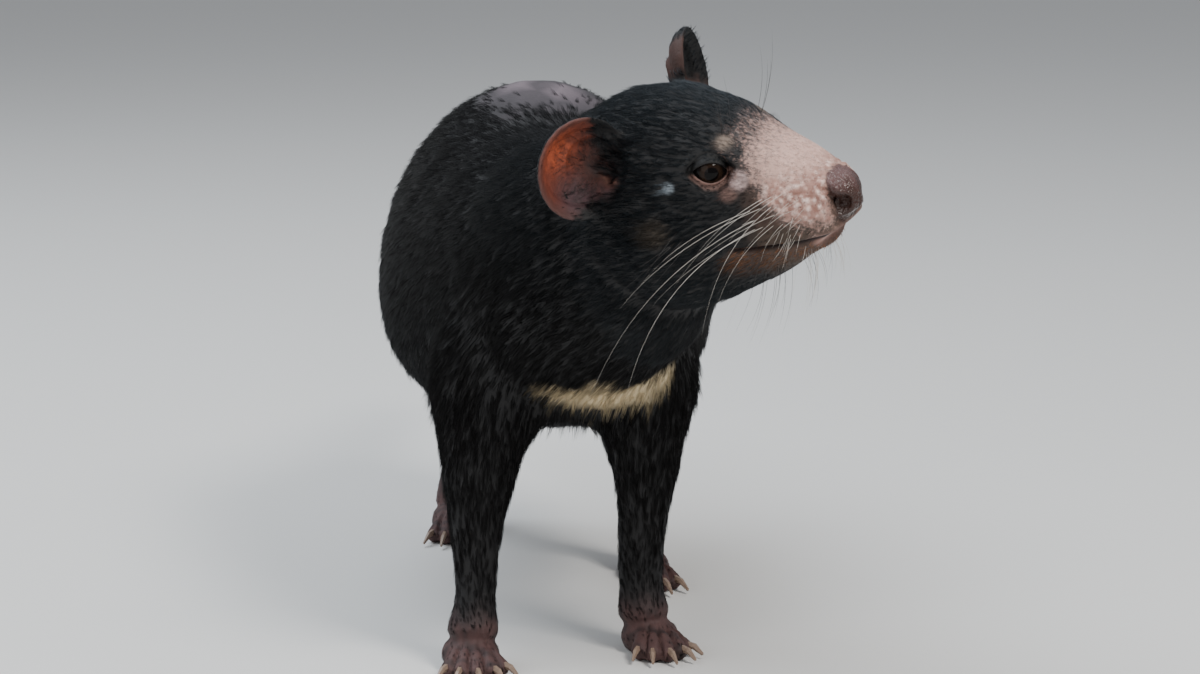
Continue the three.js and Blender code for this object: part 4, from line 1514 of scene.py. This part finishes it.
def whiskers(hand):
    w = whiskerSettings
    draw = np.random.default_rng(w["seed"] + hand)
    mirror = np.array((hand, 1, 1))
    hairs = []
    for index, root in enumerate(whiskerRoots[hand]):
        back = (index % padSettings["perRow"]) / (padSettings["perRow"] - 1)
        length = w["shortest"] + (w["longest"] - w["shortest"]) * back ** 1.7
        length = length * draw.uniform(0.45, 1.08)
        start = unit(np.array((1.0, 0.1 + 0.5 * back, -0.1)) + draw.normal(0, 0.07, 3)) * mirror
        sweep = unit(np.array(w["sweep"]) + draw.normal(0, w["scatter"], 3)) * mirror
        end = root + sweep * length + np.array((0, 0, -w["droop"] * (length / 100) ** 1.5))
        middle = root + start * length * w["rise"] + sweep * length * w["follow"]
        path = fromHead(bentPath(root - start * 1.5, middle, end, w["steps"]))
        hairs.append((path, w["thick"] * (0.65 + 0.35 * back)))
    return hairs


# Longer stiff hairs over the eye, on the cheek, lip and chin: place, way, length, count, spread and tone.
bristleThick = 0.2 * mm
bristleSettings = [
    ((17.0, -60.0, 4.0), (0.25, -0.15, 1.0), 44.0, 4, 3.0, "dark"),
    ((45.0, -38.0, -38.0), (0.75, 0.65, -0.45), 46.0, 6, 4.5, "dark"),
    ((12.0, -86.0, -64.0), (0.35, 0.15, -1.0), 26.0, 12, 8.0, "pale"),
    ((20.0, -70.0, -66.0), (0.45, 0.35, -1.0), 34.0, 12, 9.0, "dark"),
    ((22.0, -84.0, -46.0), (0.8, 0.1, -0.6), 14.0, 12, 8.0, "pale"),
]


def bristles(hand, wanted):
    draw = np.random.default_rng(60 + hand)
    hairs = []
    mirror = np.array((hand, 1, 1))
    for place, way, length, count, spread, shade in bristleSettings:
        for _ in range(count):
            seedPoint = np.array(place) * mirror + draw.normal(0, spread * 0.5, 3)
            root, normal = nearestSkin(seedPoint)
            aim = unit(np.array(way) * mirror + draw.normal(0, 0.12, 3))
            reach = length * draw.uniform(0.6, 1.1)
            middle = root + unit(normal + aim) * reach * 0.5
            end = root + aim * reach + np.array((0, 0, -0.1 * reach))
            path = fromHead(bentPath(root - normal * 1.0, middle, end, 8))
            if shade == wanted:
                hairs.append((path, bristleThick))
    return hairs


lashSettings = {"count": 22, "span": 0.9, "thick": 0.13 * mm, "lean": (0.5, 0.1, 1.8), "end": (1.6, 1.0, 2.4)}


def lashes(hand):
    e, l = eyeSettings, lashSettings
    draw = np.random.default_rng(80 + hand)
    ball = headSettings["eyeRadius"] / mm + 1.0
    hairs = []
    for share in np.linspace(-l["span"], l["span"], l["count"]):
        rise = e["halfUp"] * (1 - abs(share) ** e["cornerPower"]) ** (1 / e["cornerPower"])
        across = share * e["halfWide"]
        root = np.array((across, rise + 0.2, math.sqrt(max(ball ** 2 - across ** 2 - rise ** 2, 4.0))))
        reach = np.array(l["end"]) + np.array((draw.normal(0, 0.5), 0, 0))
        end = root + reach * draw.uniform(0.7, 1.1)
        path = bentPath(root - np.array((0, 0, 0.5)), root + np.array(l["lean"]), end, 5)
        hairs.append((fromHead(fromEye(path, hand)), l["thick"]))
    return hairs


# Fine dark hairs in each ear lie along its hollow and fan out from the canal.
earHairSettings = {
    "count": 190, "near": 5.0, "far": 21.0, "short": 4.0, "long": 10.0, "steps": 7, "thick": 0.13 * mm,
    "before": -22.0, "seed": 40,
}


def earHairs(hand):
    e = earHairSettings
    draw = np.random.default_rng(e["seed"] + hand)
    axes, root = earTurnOf(hand), earRootOf(hand)
    inward = Vector(dirFromHead(axes[:, 1]))
    canal = np.array(hollowSettings["canal"])
    hairs = []
    for _ in range(e["count"]):
        angle, start = draw.uniform(-1.9, 1.9), draw.uniform(e["near"], e["far"])
        length = draw.uniform(e["short"], e["long"])
        bend = draw.normal(0, 0.25)
        path = []
        for share in np.linspace(0, 1, e["steps"]):
            turn = angle + bend * share
            flat = canal + (start + length * share) * np.array((math.cos(turn), math.sin(turn)))
            local = np.array((hand * (flat[0] + earSettings[hand]["reach"]), e["before"], flat[1]))
            place, normal = skinTree.ray_cast(Vector(fromHead(axes @ local + root)), inward, 0.05)[:2]
            if place is None:
                break
            path.append(np.array(place) + np.array(normal) * (0.1 + 0.9 * share) * mm)
        if len(path) == e["steps"] and np.linalg.norm(np.diff(path, axis=0), axis=1).max() < 3.5 * mm:
            hairs.append((path, e["thick"]))
    return hairs


skinTree = treeOf(skin.data)
paleBristles, darkBristles = (bristles(-1, shade) + bristles(1, shade) for shade in ("pale", "dark"))
hairPiece("ear_hairs", earHairs(-1) + earHairs(1), darkHair)
hairPiece("whiskers", whiskers(-1) + whiskers(1), paleHair)
hairPiece("bristles_pale", paleBristles, paleHair)
hairPiece("bristles_dark", darkBristles + lashes(-1) + lashes(1), darkHair)
print("hairs: whiskers, bristles and lashes set")


# Claws keep their CAD shape under a horn finish.
def hornRecipe(sheet):
    grain = sheet.noise(700.0, 3.0)
    colour = sheet.blend(grain, (0.17, 0.11, 0.08), (0.32, 0.23, 0.17))
    return {"Base Color": colour, "Roughness": 0.32 + 0.15 * grain}


hornMaterial = newMaterial("claw horn", {"Specular IOR Level": 0.5}, hornRecipe)
for node, piece in frame["nodes"].items():
    if node.startswith("claw"):
        piece.data.materials.clear()
        piece.data.materials.append(hornMaterial)


# Floor, light and camera.
def makeFloor():
    size = 6.0
    corners = [(-size, -size, 0), (size, -size, 0), (size, size, 0), (-size, size, 0)]
    floor = newObject("floor", meshOf("floor", corners, [(0, 1, 2, 3)]))
    paint = {"Base Color": (0.74, 0.73, 0.71, 1.0), "Roughness": 0.9}
    floor.data.materials.append(newMaterial("plain floor", paint, lambda sheet: {}))


lightSettings = {
    "key": {"place": (0.9, -1.5, 1.9), "size": 0.65, "power": 42.0, "tint": (1.0, 0.97, 0.93)},
    "sky": {"place": (-1.0, 0.3, 2.2), "size": 2.2, "power": 60.0, "tint": (0.86, 0.93, 1.0)},
    "fill": {"place": (-1.6, -2.0, 0.9), "size": 1.8, "power": 14.0, "tint": (1.0, 0.98, 0.95)},
}


def makeLight(name, place, size, power, tint):
    lamp = bpy.data.lights.new(name, "AREA")
    lamp.size = size
    lamp.energy = power
    lamp.color = tint
    piece = newObject(name, lamp)
    piece.location = place
    aim = Vector((0.0, -0.15, 0.15)) - Vector(place)
    piece.rotation_euler = aim.to_track_quat("-Z", "Y").to_euler()


cameraSettings = {
    "place": (-0.1535, -1.9475, 0.440), "pitch": 80.9, "yaw": -5.0, "lens": 105.0, "sensor": 36.0,
}


def makeCamera():
    lens = bpy.data.cameras.new("camera")
    lens.lens = cameraSettings["lens"]
    lens.sensor_width = cameraSettings["sensor"]
    camera = newObject("camera", lens)
    camera.location = cameraSettings["place"]
    camera.rotation_euler = (math.radians(cameraSettings["pitch"]), 0.0, math.radians(cameraSettings["yaw"]))
    bpy.context.scene.camera = camera


def makeWorld():
    world = bpy.data.worlds.new("studio")
    world.use_nodes = True
    world.node_tree.nodes["Background"].inputs["Color"].default_value = (0.80, 0.84, 0.90, 1.0)
    world.node_tree.nodes["Background"].inputs["Strength"].default_value = 0.45
    bpy.context.scene.world = world


makeFloor()
for name, values in lightSettings.items():
    makeLight(name, **values)
makeCamera()
makeWorld()
